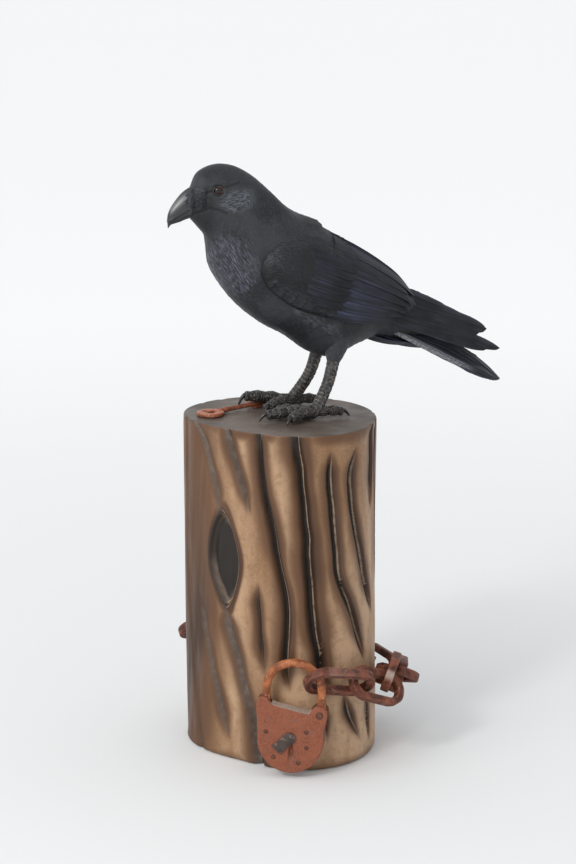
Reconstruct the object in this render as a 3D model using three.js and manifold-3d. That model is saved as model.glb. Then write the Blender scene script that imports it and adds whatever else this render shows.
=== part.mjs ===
// A painted wood carving: a raven on a grooved log, with a carved key lying on top
// and a carved padlock and chain round the foot of the log.
// Millimetres, +Z up, origin at the centre of the log's underside, -Y is the front.
import * as THREE from "three";
import { mergeVertices } from "three/addons/utils/BufferGeometryUtils.js";
import Module from "manifold-3d";

const wasm = await Module();
wasm.setup();

// Driving dimensions
const LOG_HEIGHT = 300;
const GAP = 0.3;
const BIRD_FOOT = new THREE.Vector3(16, 16, LOG_HEIGHT);
const BIRD_YAW = 20;
const BIRD_RINGS = 20;
const BIRD_SIDES = 16;
const BILL_RINGS = 11;
const BILL_SIDES = 10;
const EYE_RADIUS = 3.6;
const EYE_PLACE = [-79.8, 14.2, 200.8];
const LEG_SPREAD = 22;
const CASE_THICK = 13;
const SHACKLE_BAR = 7.4;
const LINK_BAR = { across: 7.2, deep: 8, cut: 0.42 };
const FLAT_WITHIN = 0.15;

const rad = THREE.MathUtils.degToRad;
const lerp = THREE.MathUtils.lerp;
const clamp = THREE.MathUtils.clamp;
const v3 = (x, y, z) => new THREE.Vector3(x, y, z);

// Solids and meshes

function solidFromRings(rings) {
  const sides = rings[0].length;
  const points = rings.flat();
  const faces = [];
  for (let r = 0; r < rings.length - 1; r++) {
    for (let s = 0; s < sides; s++) {
      const a = r * sides + s;
      const b = r * sides + (s + 1) % sides;
      faces.push(a, b, b + sides, a, b + sides, a + sides);
    }
  }
  const middle = (ring) => ring.reduce((sum, p) => sum.add(p), v3(0, 0, 0)).divideScalar(sides);
  const first = points.push(middle(rings[0])) - 1;
  const last = points.push(middle(rings.at(-1))) - 1;
  const lastRing = (rings.length - 1) * sides;
  for (let s = 0; s < sides; s++) {
    const next = (s + 1) % sides;
    faces.push(first, next, s);
    faces.push(last, lastRing + s, lastRing + next);
  }
  return solidFrom(points, faces);
}

function solidFrom(points, faces) {
  const geometry = new THREE.BufferGeometry();
  geometry.setAttribute("position", new THREE.Float32BufferAttribute(points.flatMap((p) => p.toArray()), 3));
  geometry.setIndex(faces);
  return solidFromGeometry(geometry);
}

function solidFromGeometry(geometry) {
  const bare = geometry.clone();
  bare.deleteAttribute("normal");
  bare.deleteAttribute("uv");
  const merged = mergeVertices(bare, 1e-4);
  const make = (triVerts) => new wasm.Manifold(new wasm.Mesh({
    numProp: 3,
    vertProperties: new Float32Array(merged.attributes.position.array),
    triVerts,
  }));
  const order = new Uint32Array(merged.index.array);
  const solid = make(order);
  if (solid.volume() > 0) return solid;
  for (let i = 0; i < order.length; i += 3) {
    [order[i + 1], order[i + 2]] = [order[i + 2], order[i + 1]];
  }
  return make(order);
}

function joined(solids) {
  return solids.reduce((sum, solid) => sum.add(solid));
}

// A solid with any hollow shut inside it filled, which shows up as a part turned inside out
function filled(solid) {
  return joined(solid.decompose().filter((part) => part.volume() > 0));
}

// A named mesh, with the slivers left by cutting and joining taken out
function named(name, solid, material) {
  const { vertProperties, triVerts } = solid.simplify(FLAT_WITHIN).getMesh();
  const geometry = new THREE.BufferGeometry();
  geometry.setAttribute("position", new THREE.BufferAttribute(new Float32Array(vertProperties), 3));
  geometry.setIndex([...triVerts]);
  geometry.computeVertexNormals();
  const mesh = new THREE.Mesh(geometry, material);
  mesh.name = name;
  return mesh;
}

// A tube of changing radius along points, its sides square to the up direction
function tubeAlong(points, radii, sides, up = v3(0, 0, 1)) {
  const rings = points.map((p, i) => {
    const next = points[Math.min(i + 1, points.length - 1)];
    const ahead = next.clone().sub(points[Math.max(i - 1, 0)]).normalize();
    const side = ahead.clone().cross(up).normalize();
    const top = side.clone().cross(ahead).normalize();
    return Array.from({ length: sides }, (_, s) => {
      const angle = (s + 0.5) / sides * Math.PI * 2;
      return p.clone()
        .addScaledVector(side, Math.cos(angle) * radii[i])
        .addScaledVector(top, Math.sin(angle) * radii[i]);
    });
  });
  return solidFromRings(rings);
}

// The value at t, from 0 to 1, of a smooth run through evenly spaced values
function smoothRun(values, t) {
  const place = clamp(t, 0, 1) * (values.length - 1);
  const i = Math.min(Math.floor(place), values.length - 2);
  const f = place - i;
  const p = [-1, 0, 1, 2].map((k) => values[clamp(i + k, 0, values.length - 1)]);
  return 0.5 * (2 * p[1] + (p[2] - p[0]) * f + (2 * p[0] - 5 * p[1] + 4 * p[2] - p[3]) * f * f
    + (3 * p[1] - p[0] - 3 * p[2] + p[3]) * f * f * f);
}

// The raven, in its own frame: x towards the tail, y to its right side, z up, feet at 0

// Each station is a slice that fans round the throat: back line x and z, belly line x and z, half width
const BODY = [
  { name: "bill base", back: [-97.6, 203.5], belly: [-98.4, 178.8], half: 8.5 },
  { name: "forehead", back: [-90, 216.5], belly: [-91.8, 169.8], half: 13.2 },
  { name: "crown", back: [-77, 221.6], belly: [-87, 160.5], half: 16.6 },
  { name: "hind crown", back: [-60, 219.2], belly: [-85.2, 150], half: 18.6 },
  { name: "nape", back: [-43.5, 209.8], belly: [-83.4, 135.5], half: 21.5 },
  { name: "neck", back: [-29.5, 197], belly: [-75.4, 121.5], half: 26.5 },
  { name: "shoulders", back: [-13.5, 182.5], belly: [-60.8, 103], half: 32 },
  { name: "mantle", back: [8, 171.2], belly: [-39.6, 85], half: 35.8 },
  { name: "back", back: [30, 157.6], belly: [-14.6, 70.6], half: 37 },
  { name: "flank", back: [55, 142.6], belly: [5, 56.6], half: 36 },
  { name: "thighs", back: [75, 130], belly: [24, 50.5], half: 31.5 },
  { name: "rump", back: [90, 118], belly: [46, 58.5], half: 25.5 },
  { name: "tail coverts", back: [103, 103], belly: [64, 64.6], half: 20 },
  { name: "tail root", back: [116, 93], belly: [90, 60], half: 14 },
  { name: "tail bed", back: [124, 84], belly: [112, 57], half: 9 },
];

function bodySlice(t) {
  const at = (pick) => smoothRun(BODY.map(pick), t);
  return {
    back: [at((s) => s.back[0]), at((s) => s.back[1])],
    belly: [at((s) => s.belly[0]), at((s) => s.belly[1])],
    half: at((s) => s.half),
  };
}

// Half width of a slice at a share of the way from the back line, 0, to the belly line, 1
function sliceWidth(slice, share) {
  const across = clamp(2 * share - 1, -1, 1);
  return slice.half * (1 - Math.abs(across) ** 2.3) ** (1 / 2.3);
}

// Half width of the body at a point of its side view
function bodyWidthAt(x, z) {
  const side = (t) => {
    const { back, belly } = bodySlice(t);
    return (belly[0] - back[0]) * (z - back[1]) - (belly[1] - back[1]) * (x - back[0]);
  };
  let low = 0;
  let high = 1;
  for (let i = 0; i < 22; i++) {
    const middle = (low + high) / 2;
    if (side(middle) > 0) low = middle;
    else high = middle;
  }
  const slice = bodySlice(low);
  const dx = slice.belly[0] - slice.back[0];
  const dz = slice.belly[1] - slice.back[1];
  const share = ((x - slice.back[0]) * dx + (z - slice.back[1]) * dz) / (dx * dx + dz * dz);
  return sliceWidth(slice, clamp(share, 0.015, 0.985));
}

function bodySolid() {
  const rings = Array.from({ length: BIRD_RINGS }, (_, r) => {
    const slice = bodySlice(r / (BIRD_RINGS - 1));
    return Array.from({ length: BIRD_SIDES }, (_, s) => {
      const angle = s / BIRD_SIDES * Math.PI * 2;
      const share = (1 - Math.cos(angle)) / 2;
      const y = Math.sign(Math.sin(angle)) * sliceWidth(slice, share);
      return v3(lerp(slice.back[0], slice.belly[0], share), y, lerp(slice.back[1], slice.belly[1], share));
    });
  });
  return solidFromRings(rings);
}

// The bill: arched upper edge, hooked tip, flat cutting edge between upper and lower halves
const BILL = {
  upper: [
    [-90, 206], [-99.1, 203.2], [-107, 198.4], [-113.6, 191.2], [-118.6, 183.6], [-120.4, 176.6],
    [-119.8, 170.6],
  ],
  lower: [
    [-90, 176], [-99, 176.4], [-104, 175.4], [-109.5, 173.4], [-114, 172.2], [-117.4, 171.2],
    [-119.4, 169.6],
  ],
  half: [9.4, 8.6, 7.2, 5.6, 4, 2.5, 0.9],
};

function billSolid() {
  const rings = Array.from({ length: BILL_RINGS }, (_, r) => {
    const t = r / (BILL_RINGS - 1);
    const upper = [0, 1].map((k) => smoothRun(BILL.upper.map((p) => p[k]), t));
    const lower = [0, 1].map((k) => smoothRun(BILL.lower.map((p) => p[k]), t));
    const half = smoothRun(BILL.half, t);
    return Array.from({ length: BILL_SIDES }, (_, s) => {
      const angle = s / BILL_SIDES * Math.PI * 2;
      const share = (1 - Math.cos(angle)) / 2;
      const y = Math.sin(angle) * half * (1 - 0.16 * Math.cos(angle));
      return v3(lerp(upper[0], lower[0], share), y, lerp(upper[1], lower[1], share));
    });
  });
  return solidFromRings(rings);
}

// Folded wing: upper and lower edges in side view, from the bend of the wing to the last tertial
const WING = {
  upper: [
    [-45, 146], [-40, 156], [-27, 165.5], [-11, 168], [8, 164.5], [28, 155.5], [48, 145], [68, 132.8],
    [86, 119.5], [102, 103],
  ],
  lower: [
    [-46.5, 142], [-47, 129], [-39.5, 116.5], [-24, 103.5], [-7, 95.6], [13, 90], [33, 85.6],
    [53, 82.6], [72, 80.2], [92, 79],
  ],
  rise: 6.4,
  edge: 3.2,
};

function wingSurface(t, across) {
  const point = [0, 1].map((k) => lerp(
    smoothRun(WING.upper.map((p) => p[k]), t),
    smoothRun(WING.lower.map((p) => p[k]), t),
    across,
  ));
  const bulge = Math.sin(Math.PI * clamp(across, 0, 1)) ** 0.8 * Math.min(1, t * 4 + 0.25);
  const y = bodyWidthAt(point[0], point[1]) + WING.edge + (WING.rise - WING.edge) * bulge;
  return v3(point[0], y, point[1]);
}

function wingSolid() {
  const along = 10;
  const across = 5;
  const rings = Array.from({ length: along }, (_, i) => {
    const t = i / (along - 1);
    const outer = Array.from({ length: across }, (_, j) => wingSurface(t, j / (across - 1)));
    const inner = outer.map((p) => v3(p.x, p.y - 7, p.z)).reverse();
    return [...outer, ...inner];
  });
  return solidFromRings(rings);
}

// A feather: a thin curved blade with a rounded tip, from base to tip
function feather({ base, tip, width, thick, sag = 0, out, steps = 4 }) {
  const along = tip.clone().sub(base);
  const flat = along.clone().cross(out).normalize();
  const rings = Array.from({ length: steps }, (_, i) => {
    const t = i / (steps - 1);
    const round = Math.sqrt(Math.max(0, 1 - Math.max(0, (t - 0.72) / 0.28) ** 2));
    const half = width / 2 * Math.max(0.12, round) * lerp(0.8, 1, Math.min(1, t * 3));
    const middle = base.clone().addScaledVector(along, t).addScaledVector(out, sag * 4 * t * (1 - t));
    const deep = thick * lerp(1, 0.55, t);
    return [[-1, -0.5], [0, 0.6], [1, -0.5], [0, -0.6]].map(([a, b]) => middle.clone()
      .addScaledVector(flat, a * half)
      .addScaledVector(out, b * deep));
  });
  return solidFromRings(rings);
}

// Flight feathers past the tertials, two long bundles a side, and the secondaries laid on the wing
const PRIMARIES = [
  { base: [76, 16, 98], tip: [172, 8, 67.5], width: 19, thick: 4.4 },
  { base: [76, 20, 94], tip: [163, 11, 62.5], width: 19, thick: 4.4 },
  { base: [72, 24, 89], tip: [183.6, 13, 50.2], width: 17, thick: 4.2 },
  { base: [72, 27, 85], tip: [171, 16, 50], width: 13, thick: 3.8 },
];
const SECONDARIES = { count: 4, from: 0.36, to: 0.97, top: 0.16, foot: 0.84, lift: 1.7 };

// A feather that lies on the wing, from one place along it to another
function laidFeather(from, to, across, half) {
  const steps = 5;
  const rings = Array.from({ length: steps }, (_, i) => {
    const t = i / (steps - 1);
    const round = Math.max(0.15, Math.sqrt(1 - Math.max(0, (t - 0.75) / 0.25) ** 2));
    return [[-1, 0.1], [1, 1.1], [1, -1.6], [-1, -1.6]].map(([a, lift]) => {
      const p = wingSurface(lerp(from, to, t), across + a * half * round);
      return p.setY(p.y + lift * SECONDARIES.lift);
    });
  });
  return solidFromRings(rings);
}

function wingFeathers() {
  const long = PRIMARIES.map(({ base, tip, width, thick }) => feather({
    base: v3(...base),
    tip: v3(...tip),
    width,
    thick,
    sag: 0.6,
    out: v3(0.1, 0.86, 0.5).normalize(),
  }));
  const { count, from, to, top, foot } = SECONDARIES;
  const half = (foot - top) / count / 2;
  const laid = Array.from({ length: count }, (_, k) => {
    const share = k / (count - 1);
    const end = to - 0.12 * share;
    return laidFeather(from + 0.04 * k, end, lerp(top, foot, (k + 0.5) / count), half * 1.2);
  });
  return joined([...long, ...laid]);
}

// The tail: a closed fan rolled a little to the left, its middle feathers longest, bowed and drooping
const TAIL = {
  pairs: 3,
  root: [88, 74],
  tip: [189, 20.5],
  slope: -0.47,
  spread: 6,
  step: 6.2,
  bow: 10,
  rise: 6,
  roll: 0.36,
  width: 17,
  thick: 3,
};

function tailSolid() {
  const feathers = [];
  for (let k = -TAIL.pairs; k <= TAIL.pairs; k++) {
    const y = k * TAIL.spread;
    const outward = Math.abs(k) / TAIL.pairs;
    const short = Math.abs(k) * TAIL.step;
    const tipZ = TAIL.tip[1] - short * TAIL.slope + TAIL.rise * outward ** 2 + TAIL.roll * y;
    const rootZ = TAIL.root[1] - 3 * outward + 0.2 * y;
    feathers.push(feather({
      base: v3(TAIL.root[0], y * 0.42, rootZ),
      tip: v3(TAIL.tip[0] - short, y, tipZ),
      width: TAIL.width,
      thick: TAIL.thick,
      sag: TAIL.bow * (1 - outward ** 1.5) + (k > 0 ? 2 : 0) * outward,
      out: v3(0.42, -0.25, 0.9).normalize(),
      steps: 5,
    }));
  }
  return joined(feathers);
}

// A leg: feathered thigh, scaled shank, three front toes and a hind toe with hooked claws
const LEG = {
  thigh: [[27, 66], [23.6, 52], [20, 40]],
  thighRadius: [12, 7.2, 4.4],
  shank: [[24.5, 50], [18.4, 29], [6.4, 9]],
  shankRadius: [5.4, 4.5, 5.2],
};
const TOES = [
  { turn: 180, length: 41, radius: 5, claw: 12 },
  { turn: 143, length: 32, radius: 4.7, claw: 11 },
  { turn: 217, length: 31, radius: 4.7, claw: 11 },
  { turn: 3, length: 29, radius: 4.6, claw: 12 },
];

function toeSolids(ball, { turn, length, radius, claw }, lift) {
  const away = v3(Math.cos(rad(turn)), Math.sin(rad(turn)), 0);
  const knuckles = 3;
  const steps = knuckles * 2 + 1;
  const points = [];
  const radii = [];
  for (let i = 0; i < steps; i++) {
    const t = i / (steps - 1);
    const swell = 0.5 + 0.5 * Math.cos(t * knuckles * Math.PI * 2);
    const r = radius * lerp(1, 0.88, t) * lerp(1, 0.84, t > 0 && t < 1 ? swell : 0);
    radii.push(i === steps - 1 ? r * 0.72 : r);
    const z = GAP + radius + lift * t + 1.6 * Math.sin(Math.PI * t);
    points.push(ball.clone().addScaledVector(away, length * t).setZ(z));
  }
  const end = points.at(-1);
  const clawSteps = 4;
  const clawPoints = Array.from({ length: clawSteps }, (_, i) => {
    const t = i / (clawSteps - 1);
    const z = lerp(end.z + 0.6, GAP + 0.5, t * t);
    return end.clone().addScaledVector(away, claw * (1.15 * t - 0.2 * t * t) - 1.5).setZ(z);
  });
  const clawRadii = clawPoints.map((_, i) => lerp(2.3, 0.35, i / (clawSteps - 1)));
  return [tubeAlong(points, radii, 6), tubeAlong(clawPoints, clawRadii, 4)];
}

function legSolid(side, ball, lift) {
  const thighPoints = LEG.thigh.map(([x, z], i) => v3(x, side * (LEG_SPREAD - 5 + 2 * i), z));
  const thigh = tubeAlong(thighPoints, LEG.thighRadius, 6, v3(1, 0, 0));
  const shankEnd = v3(ball.x, ball.y, 6);
  const top = v3(LEG.shank[0][0], side * (LEG_SPREAD - 1.5), LEG.shank[0][1]);
  const shift = (ball.x + 5 - LEG.shank[2][0]) * 0.6;
  const knee = v3(LEG.shank[1][0] + shift, side * LEG_SPREAD, LEG.shank[1][1]);
  const foot = v3(ball.x + 5, ball.y, LEG.shank[2][1]);
  const curve = new THREE.CatmullRomCurve3([top, knee, foot, shankEnd]);
  const shankPoints = curve.getPoints(6);
  const shankRadii = shankPoints.map((_, i) => smoothRun([...LEG.shankRadius, 4.8], i / 6));
  const shank = tubeAlong(shankPoints, shankRadii, 6, v3(1, 0, 0));
  const toes = TOES.flatMap((toe, k) => {
    return toeSolids(ball, { ...toe, turn: toe.turn * side }, k === 0 ? lift : 0);
  });
  return joined([thigh, shank, ...toes]);
}

function ravenSolid() {
  const right = joined([wingSolid(), wingFeathers()]);
  const left = right.mirror([0, 1, 0]);
  const nearLeg = legSolid(-1, v3(1.3, -25.4, 5), 0);
  const farLeg = legSolid(1, v3(-0.5, 28.2, 5), 6.5);
  const sockets = [-1, 1].map((side) => ball(EYE_RADIUS + GAP, eyePlace(side)));
  const whole = joined([bodySolid(), billSolid(), right, left, tailSolid(), nearLeg, farLeg]);
  return placeBird(filled(whole).subtract(joined(sockets)));
}

function eyePlace(side) {
  return v3(EYE_PLACE[0], side * EYE_PLACE[1], EYE_PLACE[2]);
}

function ball(radius, centre) {
  return solidFromGeometry(new THREE.SphereGeometry(radius, 9, 6)).translate(centre.toArray());
}

function placeBird(solid) {
  return solid.rotate([0, 0, BIRD_YAW]).translate(BIRD_FOOT.toArray());
}

function eyeSolid(side) {
  return placeBird(ball(EYE_RADIUS, eyePlace(side)));
}

// The log: a lobed oval in plan, tapering and leaning a little towards its foot
const LOG_TOP = { radius: 83.5, waves: [[10.4, 76], [5.5, -47], [2.8, 51]] };
const LOG_FOOT = { radius: 80.6, waves: [[14.5, 72], [6.8, -39], [2.4, 44]] };

function logRadius(angle, z) {
  const at = ({ radius, waves }) => waves.reduce(
    (sum, [size, turn], k) => sum + size * Math.cos((k + 1) * rad(angle - turn)),
    radius,
  );
  return lerp(at(LOG_FOOT), at(LOG_TOP), z / LOG_HEIGHT);
}

function onLog(angle, z, out = 0) {
  const r = logRadius(angle, z) + out;
  return v3(r * Math.cos(rad(angle)), r * Math.sin(rad(angle)), z);
}

function logBlank() {
  const sides = 32;
  const heights = [0, 1.6, 298.4, 300];
  const rings = heights.map((z, i) => Array.from({ length: sides }, (_, s) => {
    const bevel = i === 0 || i === heights.length - 1 ? -1.6 : 0;
    return onLog(s / sides * 360, z, bevel);
  }));
  return solidFromRings(rings);
}

// Carved grooves: width, depth and the path in degrees round the log and millimetres up it
const GROOVES = [
  { width: 8, depth: 5, path: [[-177, 304], [-180, 243], [-182, 197], [-180, 133], [-172, 47], [-166, -4]] },
  { width: 9, depth: 6, path: [[-166, 304], [-156, 283], [-149, 262], [-143.5, 240], [-144, 218]] },
  { width: 9, depth: 5.5, path: [[-133, 304], [-129, 282], [-122, 260], [-112, 224]] },
  {
    width: 9,
    depth: 6.5,
    path: [[-105, 304], [-104, 278], [-101, 250], [-91, 194], [-84, 153], [-85, 102], [-83, 66]],
  },
  { width: 13, depth: 9, path: [[-80, 304], [-77, 281], [-72, 226], [-69, 172], [-64, 120], [-59, 66]] },
  { width: 8, depth: 5, path: [[-58, 292], [-58, 271], [-55, 219], [-50, 169], [-39, 137], [-25, 88]] },
  { width: 10, depth: 6.5, path: [[-40, 304], [-41, 283], [-43, 262], [-37, 212], [-23, 153], [-16, 128]] },
  { width: 9, depth: 6, path: [[-19, 304], [-19, 261], [-21, 222]] },
  { width: 11, depth: 7, path: [[-143, 144], [-132, 111], [-119, 68], [-108, 25], [-104, -4]] },
  { width: 9, depth: 5.5, path: [[-165, 148], [-156, 93], [-144, 38], [-138, 12]] },
  { width: 6, depth: 4, path: [[-107, 170], [-105, 121], [-101, 80]] },
  { width: 6, depth: 4, path: [[-48, 70], [-43, 52], [-30, 17]] },
  { width: 5, depth: 3.5, path: [[-23, 56], [-13, 12]] },
  { width: 7, depth: 5, path: [[-5, 304], [-7, 250], [-2, 180], [4, 120], [2, 60]] },
];
// Behind, where nothing is known, like grooves run at an even spacing
const BACK_GROOVES = { count: 7, from: 18, step: 21, sway: 5, width: 7, depth: 5.5 };

function backGrooves() {
  return Array.from({ length: BACK_GROOVES.count }, (_, k) => {
    const angle = BACK_GROOVES.from + k * BACK_GROOVES.step;
    const tops = [304, 262, 304];
    const feet = [42, -4, 96, 20];
    const top = tops[k % tops.length];
    const foot = feet[k % feet.length];
    const path = Array.from({ length: 4 }, (_, i) => {
      const t = i / 3;
      return [angle + BACK_GROOVES.sway * Math.sin(t * 4 + k * 1.7), lerp(top, foot, t)];
    });
    return { width: BACK_GROOVES.width + (k % 3), depth: BACK_GROOVES.depth, path };
  });
}

function grooveSolid({ width, depth, path }) {
  const steps = path.length + 2;
  const outside = 3;
  const points = Array.from({ length: steps }, (_, i) => {
    const t = i / (steps - 1);
    return [smoothRun(path.map((p) => p[0]), t), smoothRun(path.map((p) => p[1]), t), t];
  });
  const rings = points.map(([angle, z, t]) => {
    const runsOut = (z > LOG_HEIGHT - 2 || z < 2) ? 1 : 0;
    const taper = Math.max(runsOut, Math.min(1, Math.sin(Math.PI * t) ** 0.6));
    const height = clamp(z, 0, LOG_HEIGHT);
    const r = logRadius(angle, height);
    const half = width / 2 * Math.max(taper, 0.08) * (1 + outside / depth);
    const spread = THREE.MathUtils.radToDeg(half / r);
    const at = (turn, out) => {
      const p = onLog(turn, height, out);
      return p.setZ(z);
    };
    return [
      at(angle, -depth * Math.max(taper, 0.08)),
      at(angle - spread, outside),
      at(angle + spread, outside),
    ];
  });
  return solidFromRings(rings);
}

// The knot: a pointed oval sunk in the bark, its dark heart standing a little proud of the sunk ring
const KNOT = { angle: -138.5, z: 183, half: 13.5, tall: 37, depth: 5, heart: 0.74 };

function almond(scale, inner, outer) {
  const sides = 16;
  const ring = (out, size) => Array.from({ length: sides }, (_, s) => {
    const turn = s / sides * Math.PI * 2;
    const z = Math.sin(turn) * KNOT.tall * size;
    const pinch = (1 - (Math.sin(turn) ** 2) * 0.35);
    const side = Math.cos(turn) * KNOT.half * size * pinch;
    const angle = KNOT.angle + THREE.MathUtils.radToDeg(side / logRadius(KNOT.angle, KNOT.z)) - z * 0.05;
    return onLog(angle, KNOT.z + z, out);
  });
  return solidFromRings([ring(inner, scale * 0.82), ring(outer, scale)]);
}

function logSolid() {
  const grooves = [...GROOVES, ...backGrooves()].map(grooveSolid);
  const hollow = almond(1, -KNOT.depth, 0.8).add(almond(1.04, 0.7, 6));
  const heart = almond(KNOT.heart, -KNOT.depth - 2, -0.8);
  return logBlank().subtract(joined(grooves)).subtract(hollow).add(heart);
}

// The key: ring bow with a lobed hole, round shank with a collar, and a bit that props up its end
const KEY = {
  bow: v3(-61.8, 5, LOG_HEIGHT + GAP),
  turn: 38,
  tilt: 2.2,
  bowRadius: 12,
  bowThick: 3.5,
  holeRadius: 4.3,
  lobe: 4.2,
  shankRadius: 2.2,
  lift: 0.4,
  length: 60,
  bit: { long: 11, tall: 8.5, thick: 2.6 },
};

function keySolid() {
  const shape = new THREE.Shape();
  shape.absarc(0, 0, KEY.bowRadius, 0, Math.PI * 2, false);
  const hole = new THREE.Path();
  const lobes = 3;
  const steps = 15;
  for (let i = 0; i <= steps; i++) {
    const turn = -i / steps * Math.PI * 2;
    const r = KEY.holeRadius + (KEY.lobe - 1) * Math.abs(Math.cos(turn * lobes / 2)) ** 2;
    if (i === 0) hole.moveTo(r * Math.cos(turn), r * Math.sin(turn));
    else hole.lineTo(r * Math.cos(turn), r * Math.sin(turn));
  }
  shape.holes.push(hole);
  const bow = solidFromGeometry(new THREE.ExtrudeGeometry(shape, {
    depth: KEY.bowThick - 1,
    bevelEnabled: true,
    bevelThickness: 0.5,
    bevelSize: 0.5,
    bevelOffset: -0.5,
    bevelSegments: 1,
    curveSegments: 9,
  })).translate([0, 0, 0.5]);
  const start = KEY.bowRadius - 2.5;
  const rise = Math.tan(rad(KEY.tilt));
  const height = (x) => KEY.shankRadius + KEY.lift + (x - start) * rise;
  const run = [start, 15, 15.5, 18, 18.5, 40, KEY.length - 1, KEY.length];
  const radii = [1, 1, 1.22, 1.22, 1, 0.96, 0.96, 0.6].map((k) => k * KEY.shankRadius);
  const shank = tubeAlong(run.map((x) => v3(x, 0, height(x))), radii, 6);
  const bitBase = KEY.length - 3 - KEY.bit.long;
  const bitTop = height(bitBase);
  const bit = solidFromGeometry(new THREE.BoxGeometry(KEY.bit.long, KEY.bit.thick, bitTop))
    .translate([bitBase + KEY.bit.long / 2, 0, bitTop / 2]);
  const side = solidFromGeometry(new THREE.BoxGeometry(KEY.bit.long, KEY.bit.tall, KEY.bit.thick))
    .translate([bitBase + KEY.bit.long / 2, KEY.bit.tall / 2, bitTop - 0.2]);
  const notch = solidFromGeometry(new THREE.BoxGeometry(2, 4, 6))
    .translate([bitBase + KEY.bit.long * 0.45, KEY.bit.tall - 1.5, bitTop]);
  return joined([bow, shank, bit, side.subtract(notch)])
    .rotate([0, 0, KEY.turn])
    .translate(KEY.bow.toArray());
}

// The padlock: origin on its front face, x to the right, z up its face, turned a little to the left
const LOCK = { place: v3(9.1, -89.5, 36.4), yaw: -8, ears: { left: -23.4, right: 25.7 }, slot: 8, dip: 13 };
const LOCK_OUTLINE = [
  [-28.4, -1], [-28.8, 14], [-29.8, 28], [-28.6, 34.6], [-24.4, 37.2], [-19.6, 36], [-17.2, 31],
  [-14.2, 29.2],
  [2, 25.4], [16.4, 22.4], [18.4, 27], [22.4, 30.2], [27.6, 30], [32, 26.4], [32, 20], [29.2, 9], [28.8, -2],
];
const LOCK_BOTTOM = { centre: [0, -2], across: 28.6, down: 29.4 };
const LOCK_RIVETS = [[-21, 5.4], [14.2, 6.4], [14.2, -7.8], [-14.4, -17.4], [7.2, -21.6], [25.4, 22]];
const COVER = { pivot: [-0.2, 0.6], length: 16.4, half: 5, turn: 222, thick: 2.2 };

function lockOutline() {
  const shape = new THREE.Shape();
  const arcSteps = 12;
  for (let i = 1; i < arcSteps; i++) {
    const turn = Math.PI * i / arcSteps;
    const x = LOCK_BOTTOM.centre[0] + LOCK_BOTTOM.across * Math.cos(turn);
    const z = LOCK_BOTTOM.centre[1] - LOCK_BOTTOM.down * Math.sin(turn);
    if (i === 1) shape.moveTo(x, z);
    else shape.lineTo(x, z);
  }
  LOCK_OUTLINE.forEach(([x, z]) => shape.lineTo(x, z));
  return shape;
}

// Stand a solid drawn in x and y, extruded along z, against the padlock's face
function standUp(solid, face = 0) {
  return solid.rotate([90, 0, 0]).translate([0, face, 0]);
}

function placeLock(solid) {
  return solid.rotate([0, 0, LOCK.yaw]).translate(LOCK.place.toArray());
}

function lockCaseSolid() {
  const plate = solidFromGeometry(new THREE.ExtrudeGeometry(lockOutline(), {
    depth: CASE_THICK - 2,
    bevelEnabled: true,
    bevelThickness: 1,
    bevelSize: 1,
    bevelOffset: -1,
    bevelSegments: 1,
  }));
  const body = standUp(plate, CASE_THICK - 1);
  const slots = [
    [LOCK.ears.left, 37.5, 13.4],
    [LOCK.ears.right, 31, 15.2],
  ].map(([x, top, wide]) => solidFromGeometry(new THREE.BoxGeometry(wide, LOCK.slot, LOCK.dip * 2))
    .translate([x, CASE_THICK / 2, top]));
  const rivets = LOCK_RIVETS.map(([x, z]) => standUp(
    solidFromGeometry(new THREE.CylinderGeometry(1.3, 2.1, 2, 6)).rotate([90, 0, 0]),
    0.2,
  ).translate([x, 0, z]));
  const keyhole = solidFromGeometry(new THREE.BoxGeometry(3.4, 5, 9)).translate([0.6, 0, -9.5]);
  return placeLock(body.subtract(joined([...slots, keyhole])).add(joined(rivets)));
}

function shackleSolid() {
  const left = LOCK.ears.left + 1.6;
  const right = LOCK.ears.right + 0.8;
  const half = (right - left) / 2;
  const middle = (left + right) / 2;
  const spring = 42;
  const rise = 62.6 - spring + SHACKLE_BAR / 2;
  const arcSteps = 10;
  const points = [v3(left, 0, 26.5), v3(left, 0, 33)];
  for (let i = 0; i <= arcSteps; i++) {
    const turn = Math.PI * (1 - i / arcSteps);
    points.push(v3(middle + half * Math.cos(turn), 0, spring + rise * Math.sin(turn)));
  }
  points.push(v3(right, 0, 33), v3(right, 0, 22));
  const radii = points.map(() => SHACKLE_BAR / 2);
  const bar = tubeAlong(points, radii, 8, v3(0, 1, 0));
  return placeLock(bar.translate([0, CASE_THICK / 2, 0]));
}

function keyholeCoverSolid() {
  const shape = new THREE.Shape();
  shape.moveTo(0, -COVER.half);
  shape.lineTo(COVER.length, -COVER.half);
  shape.lineTo(COVER.length, COVER.half);
  shape.lineTo(0, COVER.half);
  shape.absarc(0, 0, COVER.half, Math.PI / 2, Math.PI * 1.5, false);
  const plate = solidFromGeometry(new THREE.ExtrudeGeometry(shape, {
    depth: COVER.thick - 0.6,
    bevelEnabled: true,
    bevelThickness: 0.3,
    bevelSize: 0.3,
    bevelOffset: -0.3,
    bevelSegments: 1,
    curveSegments: 5,
  })).rotate([0, 0, COVER.turn]);
  return placeLock(standUp(plate, -GAP - 0.3).translate([COVER.pivot[0], 0, COVER.pivot[1]]));
}

// The chain: oval links of a squared bar, each through the next. The ones behind have no chamfers.

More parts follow.
